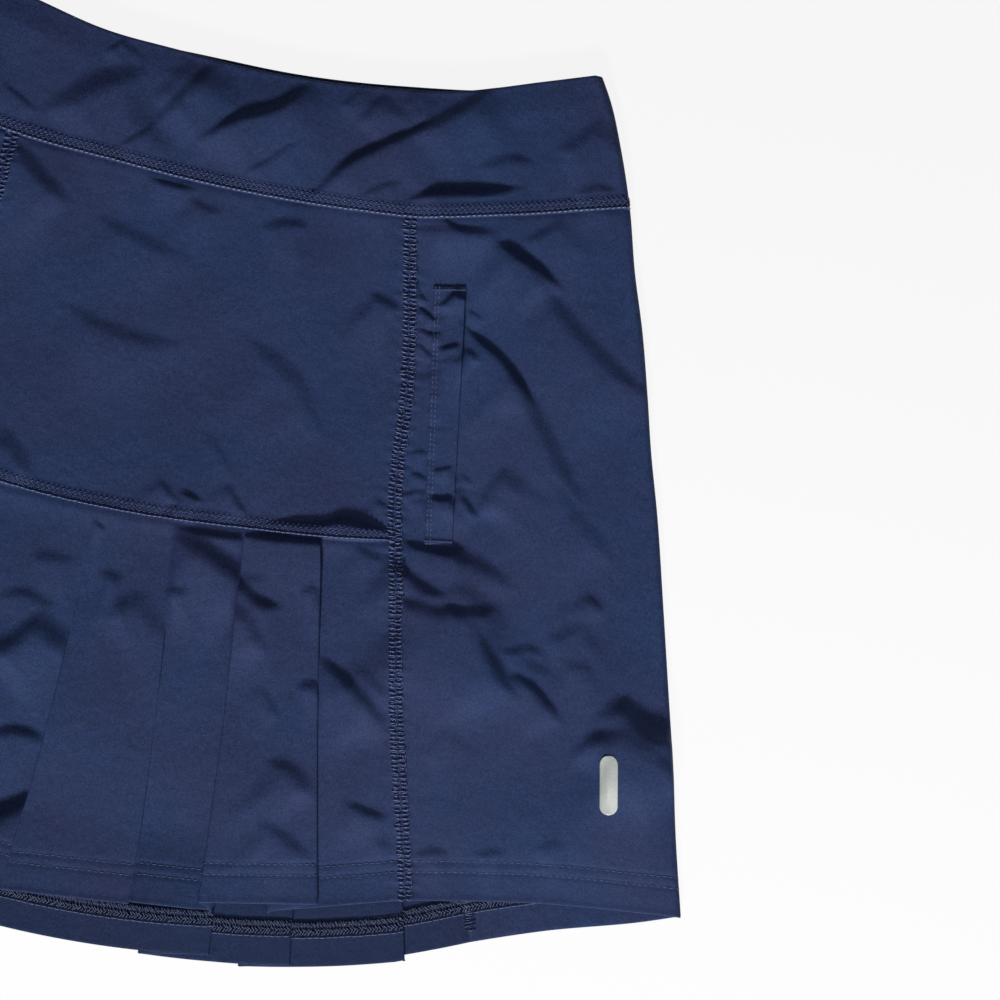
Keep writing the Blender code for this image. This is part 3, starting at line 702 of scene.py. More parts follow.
def new_piece(name, points, faces, uv_name, uvs, finish):
    """A mesh object from points in mm on the garment, with one UV pair a point."""
    mesh = bpy.data.meshes.new(name)
    mesh.from_pydata((points * MM + np.array((0, ORIGIN_UP * MM, 0))).tolist(), [], faces.tolist())
    corners = np.zeros(len(mesh.loops), np.int32)
    mesh.loops.foreach_get("vertex_index", corners)
    mesh.uv_layers.new(name=uv_name).data.foreach_set("uv", uvs[corners].astype(np.float32).ravel())
    mesh.shade_smooth()
    mesh.materials.append(finish)
    piece = bpy.data.objects.new(name, mesh)
    bpy.context.scene.collection.objects.link(piece)
    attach(piece, "root")
    return piece


def cloth(name, outer, wall=WOVEN_WALL, finish=SHELL_CLOTH, wrap=False):
    """A sheet of cloth whose outer face is this grid, as a closed mesh that replaces its solid."""
    rows, columns = outer.shape[:2]
    normals = normals_of(outer, wrap)
    number = np.arange(rows * columns).reshape(rows, columns)
    left, right = (number, np.roll(number, -1, 1)) if wrap else (number[:, :-1], number[:, 1:])
    face = np.stack([left[:-1], left[1:], right[1:], right[:-1]], axis=-1).reshape(-1, 4)
    points = [outer.reshape(-1, 3), (outer - normals * wall).reshape(-1, 3)]
    faces = [face, face[:, ::-1] + rows * columns]
    flat = np.stack([lengths(outer, 1), -lengths(outer, 0)], axis=-1).reshape(-1, 2) * MM
    uvs = [flat, flat]
    total = 2 * rows * columns
    for loop in border_of(rows, columns, wrap):
        r, c = np.array(loop).T
        edge, up = outer[r, c], normals[r, c]
        inward = outer[np.clip(r, 1, rows - 2), c if wrap else np.clip(c, 1, columns - 2)]
        out = edge - inward
        out -= up * (out * up).sum(1, keepdims=True)
        out /= np.maximum(np.linalg.norm(out, axis=1, keepdims=True), 1e-9)
        rings = [number[r, c]]
        for k in range(1, RIM_PARTS + 1):
            turn = math.pi * k / (RIM_PARTS + 1)
            points.append(edge - up * wall / 2 * (1 - math.cos(turn)) + out * wall / 2 * math.sin(turn))
            uvs.append(flat[number[r, c]])
            rings.append(total + np.arange(len(loop)))
            total += len(loop)
        rings.append(number[r, c] + rows * columns)
        for a, b in zip(rings, rings[1:]):
            faces.append(np.stack([np.roll(a, -1), a, b, np.roll(b, -1)], axis=1))
    piece = new_piece(name, np.concatenate(points), np.concatenate(faces), "cut", np.concatenate(uvs), finish)
    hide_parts(name)
    print(name, len(piece.data.polygons), "faces")
    return piece


print("an edge is rounded with", RIM_PARTS, "points between the two faces")

# %% [markdown]
# ## Lines along an edge
#
# A sewing machine's foot follows an edge at a fixed distance, and a hem is turned up by one. Both need the
# line on a grid that runs at that distance from an edge, measured over the cloth and not through the air.

# %% Lines along an edge
def line_inside(outer, edge, distance):
    """The points and normals of the line on a face that runs at this distance from one of its edges."""
    normals = normals_of(outer)
    turned = {
        "bottom": lambda g: g[::-1],
        "left": lambda g: g.transpose(1, 0, 2),
        "right": lambda g: g.transpose(1, 0, 2)[::-1],
    }[edge]
    grid, normals = turned(outer), turned(normals)
    away = lengths(grid, 0)
    k = np.clip((away < distance).sum(0) - 1, 0, len(grid) - 2)
    c = np.arange(grid.shape[1])
    t = ((distance - away[k, c]) / (away[k + 1, c] - away[k, c]))[:, None]
    return between(grid[k, c], grid[k + 1, c], t), between(normals[k, c], normals[k + 1, c], t)


def turned_up(outer, depth, wall, rows=14):
    """The grid with its hem folded to the inside: extra rows after its last one, for this depth."""
    normals = normals_of(outer)
    edge, up = outer[-1], normals[-1]
    out = outer[-1] - outer[-2]
    out /= np.linalg.norm(out, axis=1, keepdims=True)
    apart = 2 * wall + 0.08
    added = []
    for turn in np.linspace(0, math.pi, 6)[1:]:
        added.append(edge + out * apart / 2 * math.sin(turn) - up * apart / 2 * (1 - math.cos(turn)))
    for distance in np.linspace(0, depth, rows)[1:]:
        line, behind = line_inside(outer, "bottom", distance)
        added.append(line - behind * apart)
    return np.concatenate([outer, np.array(added)])


def spaced(total, coarse, fine, *zones):
    """Shares from 0 to 1 of a length in mm, in coarse steps, and in fine ones inside the zones."""
    stops, here = [0.0], 0.0
    while here < total - 0.3:
        step = fine if any(start - 0.01 <= here < end for start, end in zones) else coarse
        ahead = [start for start, _ in zones if here + 0.01 < start < here + step]
        here = min([here + step, total, *ahead])
        stops.append(here)
    return np.array(stops) / stops[-1]


def panel(across, down, left, right, top, bottom):
    """Where a panel's grid lies in the plan: across and down are shares from edge to edge.

    The sides depend on y and the top and bottom on x, so the points settle in a few rounds.
    """
    u, v = np.meshgrid(across, down)
    x, y = np.zeros_like(u), np.full_like(u, -100.0)
    for _ in range(12):
        x = between(left(y), right(y), u)
        y = between(top(x), bottom(x), v)
    return x, y


def raised(x, y, z):
    return np.stack(np.broadcast_arrays(x, y, z), axis=-1)


print("hems turn up by two walls and a little air")

# %% [markdown]
# ## Seams shape the cloth too
#
# The waist and yoke seams are coverstitched: the seam allowances lie under the upper piece and lift its last
# 7 mm, the three needle rows press furrows into it, and the piece below starts in a small dip. The princess
# seams are flatlocked, edge against edge, and pull the cloth into short puckers.

# %% Seam profiles
COVER_ROWS = (1.9, 3.7, 5.5)
COVER_WIDTH = 6.2
COVER_LIFT = 0.45
FLATLOCK_HALF = 3.7
HEM_ROWS = (14.0, 19.6)


def cover_ridge(d):
    """Rise of a coverstitched edge, d mm in from it."""
    ridge = COVER_LIFT * smooth((COVER_WIDTH + 1.2 - d) / 2.4) + 0.35 * np.exp(-(((d - 0.3) / 0.8) ** 2))
    for row in COVER_ROWS:
        ridge = ridge - 0.30 * np.exp(-(((d - row) / 0.5) ** 2))
    return ridge


def below_cover(d):
    """The dip in the piece below a coverstitched seam, d mm below it."""
    return -0.55 * np.exp(-((d / 2.2) ** 2))


def flatlock(d, s, phase):
    """Rise beside a flatlocked seam: d mm away from it, s mm along it."""
    flat_seam = 0.25 * smooth((FLATLOCK_HALF + 0.5 - d) / 1.0) - 0.35 * np.exp(-((d / 0.7) ** 2))
    puckers = 0.42 * uneven(s, 6.5, phase) * np.exp(-((np.maximum(d - 2.5, 0) / 4.0) ** 2))
    return flat_seam + puckers


def hem_furrows(d, s, phase):
    """Furrows along the hem's two rows of stitches, and a lip at its edge, d mm above it."""
    furrows = sum(-0.34 * np.exp(-(((d - row) / 0.9) ** 2)) for row in HEM_ROWS)
    ripple = 0.16 * uneven(s, 17, phase) * np.exp(-(((d - 17) / 9) ** 2))
    return furrows + ripple + 0.35 * np.exp(-((d / 1.6) ** 2))


print("a coverstitched edge is", COVER_WIDTH, "mm wide, a flatlocked seam", 2 * FLATLOCK_HALF, "mm")

# %% [markdown]
# ## The waistband
#
# The band is cut in two contoured halves, each of doubled cloth folded over at the top, so its upper edge is
# a soft round fold and it is three times as thick as the skirt. The front half goes round both sides. One
# long grid follows it: 2 mm of the back, the left side, the front, the right side and 2 mm of the back.

# %% Waistband
BAND_RETURN = 2.0
BAND_LOW = BAND / 2 + 0.2  # middle of the band's wall on the back
BEND_PARTS = 9
SIDE_OF = {"right": 1, "left": -1}


def mirrored(edge):
    """A right-hand edge's like on the left."""
    return lambda y: -edge(y)


def bend(upper, y_lower, low, side, reach):
    """Points round a side fold that reaches this far out, from the front's last column to the back."""
    radius = (upper[:, 2] - low) / 2
    columns = []
    for s in np.linspace(0, 1, BEND_PARTS + 1)[1:-1]:
        turn = math.pi * s
        x = upper[:, 0] + side * reach * math.sin(turn)
        columns.append(raised(x, between(upper[:, 1], y_lower, s), low + radius * (1 + math.cos(turn))))
    return np.stack(columns, axis=1)


def band_top(x, y):
    d = y - WAIST_SEAM(x)
    return LAID_HEIGHT + front_relief(x, y) + cover_ridge(d)


def slipped(x):
    """Where the front's edge has slipped below the back's, from 0 to 1."""
    return smooth((x + 45) / 50) * smooth((132 - x) / 30)


def front_edge(x):
    return WAIST_EDGE(x) - 1.3 * slipped(x)


def front_inside(y):
    return SIDE_EDGE(y) - LAID_HEIGHT / 2


def round_side(column, side):
    """The way round one side: the bend, and then a little of the back."""
    bent = bend(column, column[:, 1], BAND_LOW, side, (LAID_HEIGHT - BAND / 2 - BAND_LOW) / 2)
    behind = [raised(column[:, 0] - side * inwards, column[:, 1], BAND_LOW) for inwards in (0.0, BAND_RETURN)]
    return np.concatenate([bent, np.stack(behind, 1)], 1)


band_down = spaced(70, 1.3, 0.45, (60, 70))  # finest at the seam
x, y = panel(np.linspace(0, 1, 280), band_down, mirrored(front_inside), front_inside, front_edge, WAIST_SEAM)
front_band = raised(x, y, band_top(x, y) - BAND / 2)
left_way, right_way = round_side(front_band[:, 0], -1)[:, ::-1], round_side(front_band[:, -1], 1)
band_middle = np.concatenate([left_way, front_band, right_way], 1)
band_outer = band_middle + normals_of(band_middle) * BAND / 2
waistband_front = cloth("waistband_front", band_outer, BAND - 0.1)


def back_inside(y):
    return front_inside(y) - BAND_RETURN - GAP


def back_edge(x):
    """The back's edge, a little above the front's, so that its shaded inside shows as a thin dark line."""
    return WAIST_EDGE(x) + 0.8 * slipped(x)


back_down = spaced(70, 4, 1.0, (60, 70))
x, y = panel(np.linspace(1, 0, 90), back_down, mirrored(back_inside), back_inside, back_edge, WAIST_SEAM)
back_band_outer = raised(x, y, BACK_UP)
waistband_back = cloth("waistband_back", back_band_outer, BAND - 0.2)

# %% [markdown]
# ## The yoke
#
# The yoke is the plain panel between the two princess seams. It is one smooth piece, so what shows is its
# slow waves, a few creases that run up from the pleats, and the ridge where the pleated flounce is sewn on.

# %% Yoke, front and back
PRINCESS = {1: (PRINCESS_RIGHT, 0.4), -1: (PRINCESS_LEFT, 1.9)}  # each side's seam, and its puckers' phase


def beside_princess(x, y, side):
    """Flatlock relief from the seam on this side, nothing far from it."""
    seam, phase = PRINCESS[side]
    d = np.abs(x - seam(y)) * 0.98
    return flatlock(d, y, phase) * (d < 16)


def yoke_top(x, y):
    d = (y - YOKE_SEAM(x)) * 0.99
    rise = LAID_HEIGHT + front_relief(x, y) + yoke_swell(x, y) + cover_ridge(d)
    rise += below_cover(WAIST_SEAM(x) - y)
    return rise + beside_princess(x, y, 1) + beside_princess(x, y, -1)


yoke_across = spaced(230, 1.5, 1.0, (0, 10), (220, 230))  # finer at the puckers of both seams
yoke_down = spaced(165, 1.55, 0.5, (0, 4), (152, 165))  # finest at the dip and at the ridge
x, y = panel(yoke_across, yoke_down, PRINCESS_LEFT, PRINCESS_RIGHT, WAIST_SEAM, YOKE_SEAM)
yoke_outer = raised(x, y, yoke_top(x, y))
front_yoke = cloth("front_yoke", yoke_outer)

back_seams = (mirrored(PRINCESS_BACK), PRINCESS_BACK)
x, y = panel(np.linspace(1, 0, 60), np.linspace(0, 1, 40), *back_seams, WAIST_SEAM, YOKE_SEAM)
back_yoke_outer = raised(x, y, BACK_UP)
back_yoke = cloth("back_yoke", back_yoke_outer)

# %% [markdown]
# ## The side panels
#
# Each side panel is one piece that wraps round the side, from the front princess seam to the back one, with
# no side seam. That is why the garment's outer edges are soft folds. Its hem is turned up 22 mm to the
# inside.

# %% Side panels
HEM_DEPTH = 22.0


def side_top(x, y, side):
    rise = front_top(y) + front_relief(x, y) + beside_princess(x, y, side)
    return rise + below_cover(WAIST_SEAM(x) - y) + hem_furrows(y - FRONT_SIDE_HEM(np.abs(x)), x, 0.7)


def fold_line(y):
    return SIDE_EDGE(y) - front_top(y) / 2


def side_panel(side_name, fine):
    """A panel with points this many mm apart at its seams, welt and hem, and farther apart elsewhere."""
    side = SIDE_OF[side_name]
    princess, _ = PRINCESS[side]
    down = spaced(325, 1.7 * fine, fine, (0, 4), (24, 165), (302, 325))
    front_across = spaced(130, 1.8 * fine, fine, (0, 45), (124, 130))
    x, y = panel(front_across, down, lambda y: np.abs(princess(y)), fold_line, WAIST_SEAM, FRONT_SIDE_HEM)
    front = raised(side * x, y, side_top(side * x, y, side) - CLOTH / 2)
    x, y = panel(np.linspace(0, 1, 24), down, fold_line, PRINCESS_BACK, WAIST_SEAM, BACK_SIDE_HEM)
    low = CLOTH / 2 + BACK_UP
    back = raised(side * x, y, low)
    reach = (front_top(front[:, -1, 1]) - CLOTH / 2 - low) / 2
    middle = np.concatenate([front, bend(front[:, -1], back[:, 0, 1], low, side, reach), back], axis=1)
    if side == -1:
        middle = middle[:, ::-1]
    outer = middle + normals_of(middle) * CLOTH / 2
    return cloth("side_panel_" + side_name, turned_up(outer, HEM_DEPTH, WOVEN_WALL)), outer


side_panel_right, side_right_outer = side_panel("right", 1.1)
side_panel_left, side_left_outer = side_panel("left", 1.6)

# %% [markdown]
# ## The pleated flounce
#
# Knife pleats are made from one long strip that is folded over itself: at each pleat the cloth lies three
# layers deep. A pleat is written as where its fold and its hidden back edge lie at the seam, half way and at
# the hem. The strip's path is then one zigzag from seam to seam, repeated for every row down the flounce.

# %% Pleat tables
PLEAT_COLUMNS = "faces fold_top fold_mid fold_hem back_top back_hem y_fold y_back thick"
Pleat = namedtuple("Pleat", PLEAT_COLUMNS, defaults=[1.0])
FRONT_PLEATS = (
    Pleat("right", -93.0, -110.0, -128.5, -111.0, -153.5, -349.5, -358.0, 0.5),
    Pleat("right", -58.5, -73.0, -88.0, -77.0, -110.0, -360.0, -367.0, 0.4),
    Pleat("right", -19.5, -21.0, -27.0, -37.0, -47.0, -371.2, -377.2, 0.35),
    Pleat("right", 19.0, 30.5, 36.5, 1.5, 17.0, -369.0, -369.5, 0.35),
    Pleat("left", 54.0, 63.5, 70.0, 62.0, 78.5, -361.0, -363.5, 0.8),
    Pleat("right", 93.0, 110.0, 129.0, 76.0, 104.0, -349.5, -358.5, 0.85),
)
BACK_PLEATS = (
    Pleat("right", -104.0, -122.0, -140.0, -122.0, -168.0, -378.5, -371.0),
    Pleat("right", -70.0, -82.0, -95.0, -88.0, -122.0, -387.0, -383.0),
    Pleat("right", -36.0, -43.0, -50.0, -54.0, -76.0, -393.0, -389.5),
    Pleat("right", 60.0, 71.0, 81.5, 42.0, 45.6, -386.0, -392.6),
    Pleat("right", 92.0, 107.0, 122.0, 73.0, 96.0, -382.5, -388.5),
    Pleat("right", 130.0, 153.0, 178.0, 111.0, 147.0, -368.3, -376.5),
)
BACK_HEM_BOW = 0.00095  # per mm: between two pleats the hem drops by this much times the way to each of them
RUN_CLEAR = 1.5  # from a fold to where the next run starts to rise or sink
FOLD_PARTS = 6
TUCKED = 1.2

Stop = namedtuple("Stop", "x_top x_mid x_hem y_hem layer shift face")


def stops_along(pleats, seams, seam_hem, facet, hem_bow=0.0):
    """The zigzag through a flounce's pleats, from left to right, as lines that run down it."""

    def seam_line(seam):
        x_top, y_top = (float(c[0, 0]) for c in panel([0.0], [0.0], seam, seam, YOKE_SEAM, YOKE_SEAM))
        return np.array((x_top, seam((y_top + seam_hem) / 2), seam(seam_hem), seam_hem))

    first, last = (seam_line(seam) for seam in seams)
    turns = []
    for pleat in pleats:
        fold = np.array((pleat.fold_top, pleat.fold_mid, pleat.fold_hem, pleat.y_fold))
        bow = pleat.fold_mid - (pleat.fold_top + pleat.fold_hem) / 2
        middle = (pleat.back_top + pleat.back_hem) / 2 + bow
        back = np.array((pleat.back_top, middle, pleat.back_hem, pleat.y_back))
        high = 2 * pleat.thick
        turns.append((fold, back, high, 0) if pleat.faces == "right" else (back, fold, 0, high))
    turns.append((last, None, 0, 0))

    stops = []
    start, layer, covered = first, 0, None
    for face, (right, left, enters, leaves) in enumerate(turns):

        def on_run(stop):
            share = (stop[2] - start[2]) / (right[2] - start[2])
            return np.array((*stop[:3], between(start[3], right[3], share)))

        marks = [(start, layer)]
        if covered is not None:
            marks.append((on_run(covered + RUN_CLEAR), layer))
        if left is not None:
            marks.append((on_run(left - RUN_CLEAR), enters))
        marks.append((right, enters))
        for (here, low_layer), (there, high_layer) in zip(marks, marks[1:]):
            parts = max(1, math.ceil((there[2] - here[2]) / facet))
            skip = 1 if here is start and start is not first else 0
            for s in np.linspace(0, 1, parts + 1)[skip:-1]:
                point = between(here, there, s)
                point[3] -= hem_bow * (point[2] - start[2]) * (right[2] - point[2])
                stops.append(Stop(*point, between(low_layer, high_layer, s), 0.0, face))
        if left is None:
            stops.append(Stop(*last, 0.0, 0.0, face))
        else:
            middle = (enters + leaves) / 2
            for side, stop, (a, b) in ((1, right, (enters, middle)), (-1, left, (middle, leaves))):
                for s in np.linspace(0, 1, FOLD_PARTS + 1):
                    turn = math.pi * s
                    shift = side * (STEP / 2 * math.sin(turn) - STEP / 2 - CLOTH / 2)
                    height = between(a, b, (1 - math.cos(turn)) / 2)
                    stops.append(Stop(*stop, height, shift, face + (side < 0)))
        start, layer, covered = left, leaves, right
    return stops


print(len(FRONT_PLEATS), "pleats in front and", len(BACK_PLEATS), "at the back, all but one facing right")

# %% [markdown]
# ## From pleats to a strip
#
# A presser folds the whole strip at once. Here every row of the strip follows the same zigzag between its
# seam and its hem, and a face's own creases stop at the fold that covers them, as they do in real pleats.

# %% Pleated strips
def down_line(top, middle, hem, v):
    return top * (1 - v) * (1 - 2 * v) + 4 * middle * v * (1 - v) + hem * v * (2 * v - 1)


def pleated(stops, seams, down, tucked):
    """The strip's middle surface in the plan, with the layer that each point lies in.

    Its top edge is tucked under the yoke's edge by this much, in mm.
    """
    x_top, x_mid, x_hem, y_hem, layer, shift, _ = (np.array(column) for column in zip(*stops))
    v = down[:, None]
    x = down_line(x_top, x_mid, x_hem, v) + shift
    y = between(YOKE_SEAM(x_top + shift) + tucked, y_hem, v)
    x[:, 0], x[:, -1] = seams[0](y[:, 0]), seams[1](y[:, -1])
    return x, y, np.broadcast_to(layer, x.shape), np.broadcast_to(y_hem, x.shape)


def face_relief(x, y, faces, down):
    """The creases that belong to one face of the strip: they fade where the next face covers it."""
    folds = [down_line(p.fold_top, p.fold_mid, p.fold_hem, down)[:, None] for p in FRONT_PLEATS]
    relief = np.zeros_like(x)
    for face, chosen in FACE_CREASES.items():
        seen = np.broadcast_to(faces == face, x.shape).astype(float)
        if face > 0 and FRONT_PLEATS[face - 1].faces == "right":
            seen = seen * smooth((x - folds[face - 1] + 1.2) / 2.4)
        if face < len(FRONT_PLEATS) and FRONT_PLEATS[face].faces == "left":
            seen = seen * smooth((folds[face] - x + 1.2) / 2.4)
        relief += seen * sum((crease_rise(x, y, crease) for crease in chosen), np.zeros_like(x))
    return settled(relief)


def front_flounce_height(x, y, layer, y_hem):
    """Middle of the strip: its layers are pressed together under the yoke seam."""
    below = YOKE_SEAM(x) - y
    pressed = (2 - layer) * 0.75 * over_pleats(x) * np.exp(-((np.maximum(below, 0) / 9) ** 2))
    lifted = sum(crease_rise(x, y, crease) for crease in YOKE_CREASES)
    lifted = lifted * np.exp(-(((below + TUCKED) / 1.1) ** 2))
    last_pleat = smooth((x - 60) / 30)  # the one beside the right princess seam opens more slowly
    at_seam, full_at = between(0.65, 0.3, last_pleat), between(26, 62, last_pleat)
    open_hem = at_seam + (1 - at_seam) * smooth((below - 12) / full_at)
    open_hem = open_hem * np.where(layer > 0, 0.7 + 1.3 * smooth((-275 - y) / 60), 1.0)
    rise = front_top(y) - CLOTH / 2 + LAYER * layer * open_hem + pressed + lifted + below_cover(below)
    rise += front_relief(x, y, SIDE_CREASES + WELT_CREASES + LEFT_CREASES)
    rise += beside_princess(x, y, 1) + beside_princess(x, y, -1)
    return rise + hem_furrows(y - y_hem, x, 2.2)


front_seams = (PRINCESS_LEFT, PRINCESS_RIGHT)
front_stops = stops_along(FRONT_PLEATS, front_seams, FRONT_SIDE_HEM(171), 2.3)
flounce_down = spaced(190, 2.0, 1.1, (0, 12), (166, 190))
x, y, layer, y_hem = pleated(front_stops, front_seams, flounce_down, TUCKED)
strip_faces = np.array([stop.face for stop in front_stops])
flounce_height = front_flounce_height(x, y, layer, y_hem) + face_relief(x, y, strip_faces, flounce_down)
flounce_middle = raised(x, y, flounce_height)
flounce_outer = flounce_middle + normals_of(flounce_middle) * CLOTH / 2
front_flounce = cloth("front_flounce", turned_up(flounce_outer, HEM_DEPTH, WOVEN_WALL, 8))

back_stops = stops_along(BACK_PLEATS, back_seams, BACK_SIDE_HEM(207), 6.0, BACK_HEM_BOW)
x, y, layer, y_hem = pleated(back_stops, back_seams, spaced(205, 6.0, 2.0, (170, 205)), -GAP / 2)
back_middle = raised(x, y, CLOTH / 2 + BACK_UP + LAYER * layer)[:, ::-1]
back_flounce_outer = back_middle + normals_of(back_middle) * CLOTH / 2
back_hemmed = turned_up(back_flounce_outer, HEM_DEPTH, WOVEN_WALL, 20)
back_flounce = cloth("back_flounce", back_hemmed, finish=BACK_CLOTH)

# %% [markdown]
# ## The shorts
#
# The shorts are two tubes of stretch knit, open at the hem and sewn together along the rise. They hardly
# show, so they are plain: each leg is one grid that closes on itself, a little thinner than its solid.

# %% Shorts
CROTCH, LEG_HEM = -225.0, -295.0
SHORTS_ROWS = (20.0, -30.0, -70.0, -110.0, -132.0, -156.0, -190.0, -221.0, CROTCH, -245.0, -270.0, LEG_HEM)
SHORTS_SIDE = curve((LEG_HEM, 212), (-235, 222), (-160, 227), (-60, 221), (20, 198))  # y, x
SHORTS_INSEAM = curve((LEG_HEM, 9), (-260, 5), (CROTCH, 0.5))  # y, x
KNIT_WALL = 0.6


def shorts_leg(side_name):
    side = SIDE_OF[side_name]
    steps = [np.linspace(a, b, 4)[:-1] for a, b in zip(SHORTS_ROWS, SHORTS_ROWS[1:])]
    levels = np.concatenate([*steps, [LEG_HEM]])
    upper = LAID_HEIGHT - CLOTH - GAP - CLOTH / 2 - 0.4
    rows = []
    for level in levels:
        lower = between(CLOTH + GAP, 3 * STEP, smooth((level + 132) / -24)) + CLOTH / 2 - 0.1
        radius = (upper - lower) / 2
        outer_x = SHORTS_SIDE(level) - radius - CLOTH / 2
        rise, inseam = radius + CLOTH / 2 + GAP, SHORTS_INSEAM(level) + radius + CLOTH / 2
        inner_x = between(rise, inseam, smooth((CROTCH - level) / 8))
        across = np.linspace(inner_x, outer_x, 40)
        height = WAIST_SEAM(across) - GAP if level == levels[0] else np.full_like(across, level)
        front, back = raised(across, height, upper), raised(across, height, lower)
        outside, inside = [], []
        for turn in (math.pi * k / 8 for k in range(1, 8)):
            out, up = radius * math.sin(turn), math.cos(turn)
            outside.append((outer_x + out, height[-1], lower + radius * (1 + up)))
            inside.append((inner_x - out, height[0], lower + radius * (1 - up)))
        row = np.concatenate([front, outside, back[::-1], inside])
        row[:, 0] *= side
        rows.append(row if side == 1 else row[::-1])
    middle = np.array(rows)
    outer = middle + normals_of(middle, wrap=True) * KNIT_WALL / 2
    return cloth("shorts_leg_" + side_name, outer, KNIT_WALL, SHORTS_KNIT, wrap=True), outer


shorts_leg_right, leg_right_outer = shorts_leg("right")
shorts_leg_left, leg_left_outer = shorts_leg("left")

# %% [markdown]
# ## The pocket welts
#
# A welt pocket's narrow flap is doubled cloth. Its inner edge is stitched down and its ends are barred, and
# its outer edge stands open, so a dark slit runs beside it.

# %% Pocket welts
WELT_STITCHED = ((122.0, -36.5), (144.0, -162.0))
WELT_MOUTH = ((137.0, -33.3), (157.0, -160.0))
WELT_WALL = 0.8
WELT_OPEN = 1.7


def pocket_welt(side_name):
    side = SIDE_OF[side_name]
    u, v = np.meshgrid(np.linspace(0, 1, 18), np.linspace(0, 1, 130))
    edges = np.array((WELT_STITCHED, WELT_MOUTH))[..., None, None]
    x, y = between(*(between(top, bottom, v) for top, bottom in edges), u)
    x = side * x
    gape = WELT_OPEN * smooth((u - 0.1) / 0.9) * smooth((v - 0.01) / 0.045) * smooth((1 - v) / 0.12)
    gape = gape * (0.15 + 0.85 * smooth((0.5 - v) / 0.3))
    pucker = 0.3 * uneven(v * 127, 9, 1.3) * (1 - u) ** 2
    outer = raised(x, y, side_top(x, y, side) + WELT_WALL + 0.1 + gape + pucker)
    if side == -1:
        outer = outer[:, ::-1]
    return cloth("pocket_welt_" + side_name, outer, WELT_WALL), outer


welt_right, welt_right_outer = pocket_welt("right")
welt_left, welt_left_outer = pocket_welt("left")

# %% [markdown]
# ## Stitches
#
# Thousands of stitches are too many to model one by one. One stitch is modelled from a small sphere, drawn
# out along its length, and its points are then copied to every place at once. Each seam's thread is one mesh.

# %% One stitch
bpy.ops.object.select_all(action="DESELECT")
bpy.ops.mesh.primitive_uv_sphere_add(segments=5, ring_count=4, radius=0.5, rotation=(0, math.pi / 2, 0))
bpy.ops.object.transform_apply(location=False, rotation=True, scale=False)
ball = bpy.context.object
STITCH_POINTS = np.array([v.co for v in ball.data.vertices])
STITCH_POINTS[:, 0] = np.sign(STITCH_POINTS[:, 0]) * 0.5 * np.abs(2 * STITCH_POINTS[:, 0]) ** 0.8
STITCH_FACES = [list(f.vertices) for f in ball.data.polygons]
stitch_round = np.arctan2(STITCH_POINTS[:, 2], STITCH_POINTS[:, 1]) / 6.2832  # share of a turn
STITCH_UV = np.stack([STITCH_POINTS[:, 0] + 0.5, stitch_round], 1)
bpy.data.objects.remove(ball, do_unlink=True)
ON_TABLE = 0.02  # stitches under the garment are pressed flat
uneven_hand = np.random.default_rng(5)
print("a stitch has", len(STITCH_FACES), "faces")

# %% [markdown]
# ## Rows of stitches
#
# A seam's thread is the same short stitch again and again, never quite even. Each row gives places,
# directions and a small random shake with a fixed seed, so it looks hand-guided and still comes out the same
# each time.

# %% Rows of stitches
Row = namedtuple("Row", "at ahead up side")


def evenly(line, normals, pitch):
    """Places at equal steps along a line on the cloth, with the directions ahead, up and sideways."""
    walked = np.concatenate([[0], np.cumsum(np.linalg.norm(np.diff(line, axis=0), axis=1))])
    count = max(2, int(round(walked[-1] / pitch)) + 1)
    stops = np.linspace(0, walked[-1], count)
    at = np.stack([np.interp(stops, walked, line[:, k]) for k in range(3)], 1)
    up = np.stack([np.interp(stops, walked, normals[:, k]) for k in range(3)], 1)
    up /= np.linalg.norm(up, axis=1, keepdims=True)
    ahead = np.gradient(at, axis=0)
    ahead /= np.maximum(np.linalg.norm(ahead, axis=1, keepdims=True), 1e-9)
    return Row(at, ahead, up, np.cross(up, ahead))


def thread_runs(row, from_side, to_side, from_ahead, to_ahead, thick, lift=0.1, wander=0.12, fall=0.0):
    """One stitch at each place of a row, between two points given sideways and ahead of it, in mm.

    Its far end may fall lower than its near one.
    """
    shake = uneven_hand.normal(0, wander, (4, len(row.at), 1))
    a = row.at + row.side * (from_side + shake[0]) + row.ahead * (from_ahead + shake[1]) + row.up * lift
    b = row.at + row.side * (to_side + shake[2]) + row.ahead * (to_ahead + shake[3]) + row.up * (lift - fall)
    return a, b, row.up, np.full(len(a), thick)


def threads(name, runs, finish):
    """All the stitches of one seam as one mesh."""
    a, b, up, thick = (np.concatenate(parts) for parts in zip(*runs))
    ahead = b - a
    length = np.linalg.norm(ahead, axis=1)[:, None, None]
    ahead = ahead / np.maximum(length[:, 0], 1e-9)
    side = np.cross(up, ahead)
    side /= np.maximum(np.linalg.norm(side, axis=1, keepdims=True), 1e-9)
    over = np.cross(ahead, side)
    x, y, z = (STITCH_POINTS[None, :, k : k + 1] for k in range(3))
    thick = thick[:, None, None]
    points = (a + b)[:, None] / 2 + ahead[:, None] * x * length
    points = points + side[:, None] * y * thick + over[:, None] * z * thick
    points[:, :, 2] = np.maximum(points[:, :, 2], ON_TABLE)
    count, each = len(a), len(STITCH_POINTS)
    faces = [[i + k * each for i in face] for k in range(count) for face in STITCH_FACES]
    uvs = np.tile(STITCH_UV, (count, 1))
    piece = new_piece(name, points.reshape(-1, 3), np.array(faces, dtype=object), "stitch", uvs, finish)
    print(name, count, "stitches")
    return piece


print("each row of stitches gives its places and three directions")

# %% [markdown]
# ## Coverstitched seams
#
# A top coverstitch has three rows of needle thread and a looper thread that crosses between them, so the
# band looks like a narrow braid. A brighter row runs along the very edge, where the thread wraps it.

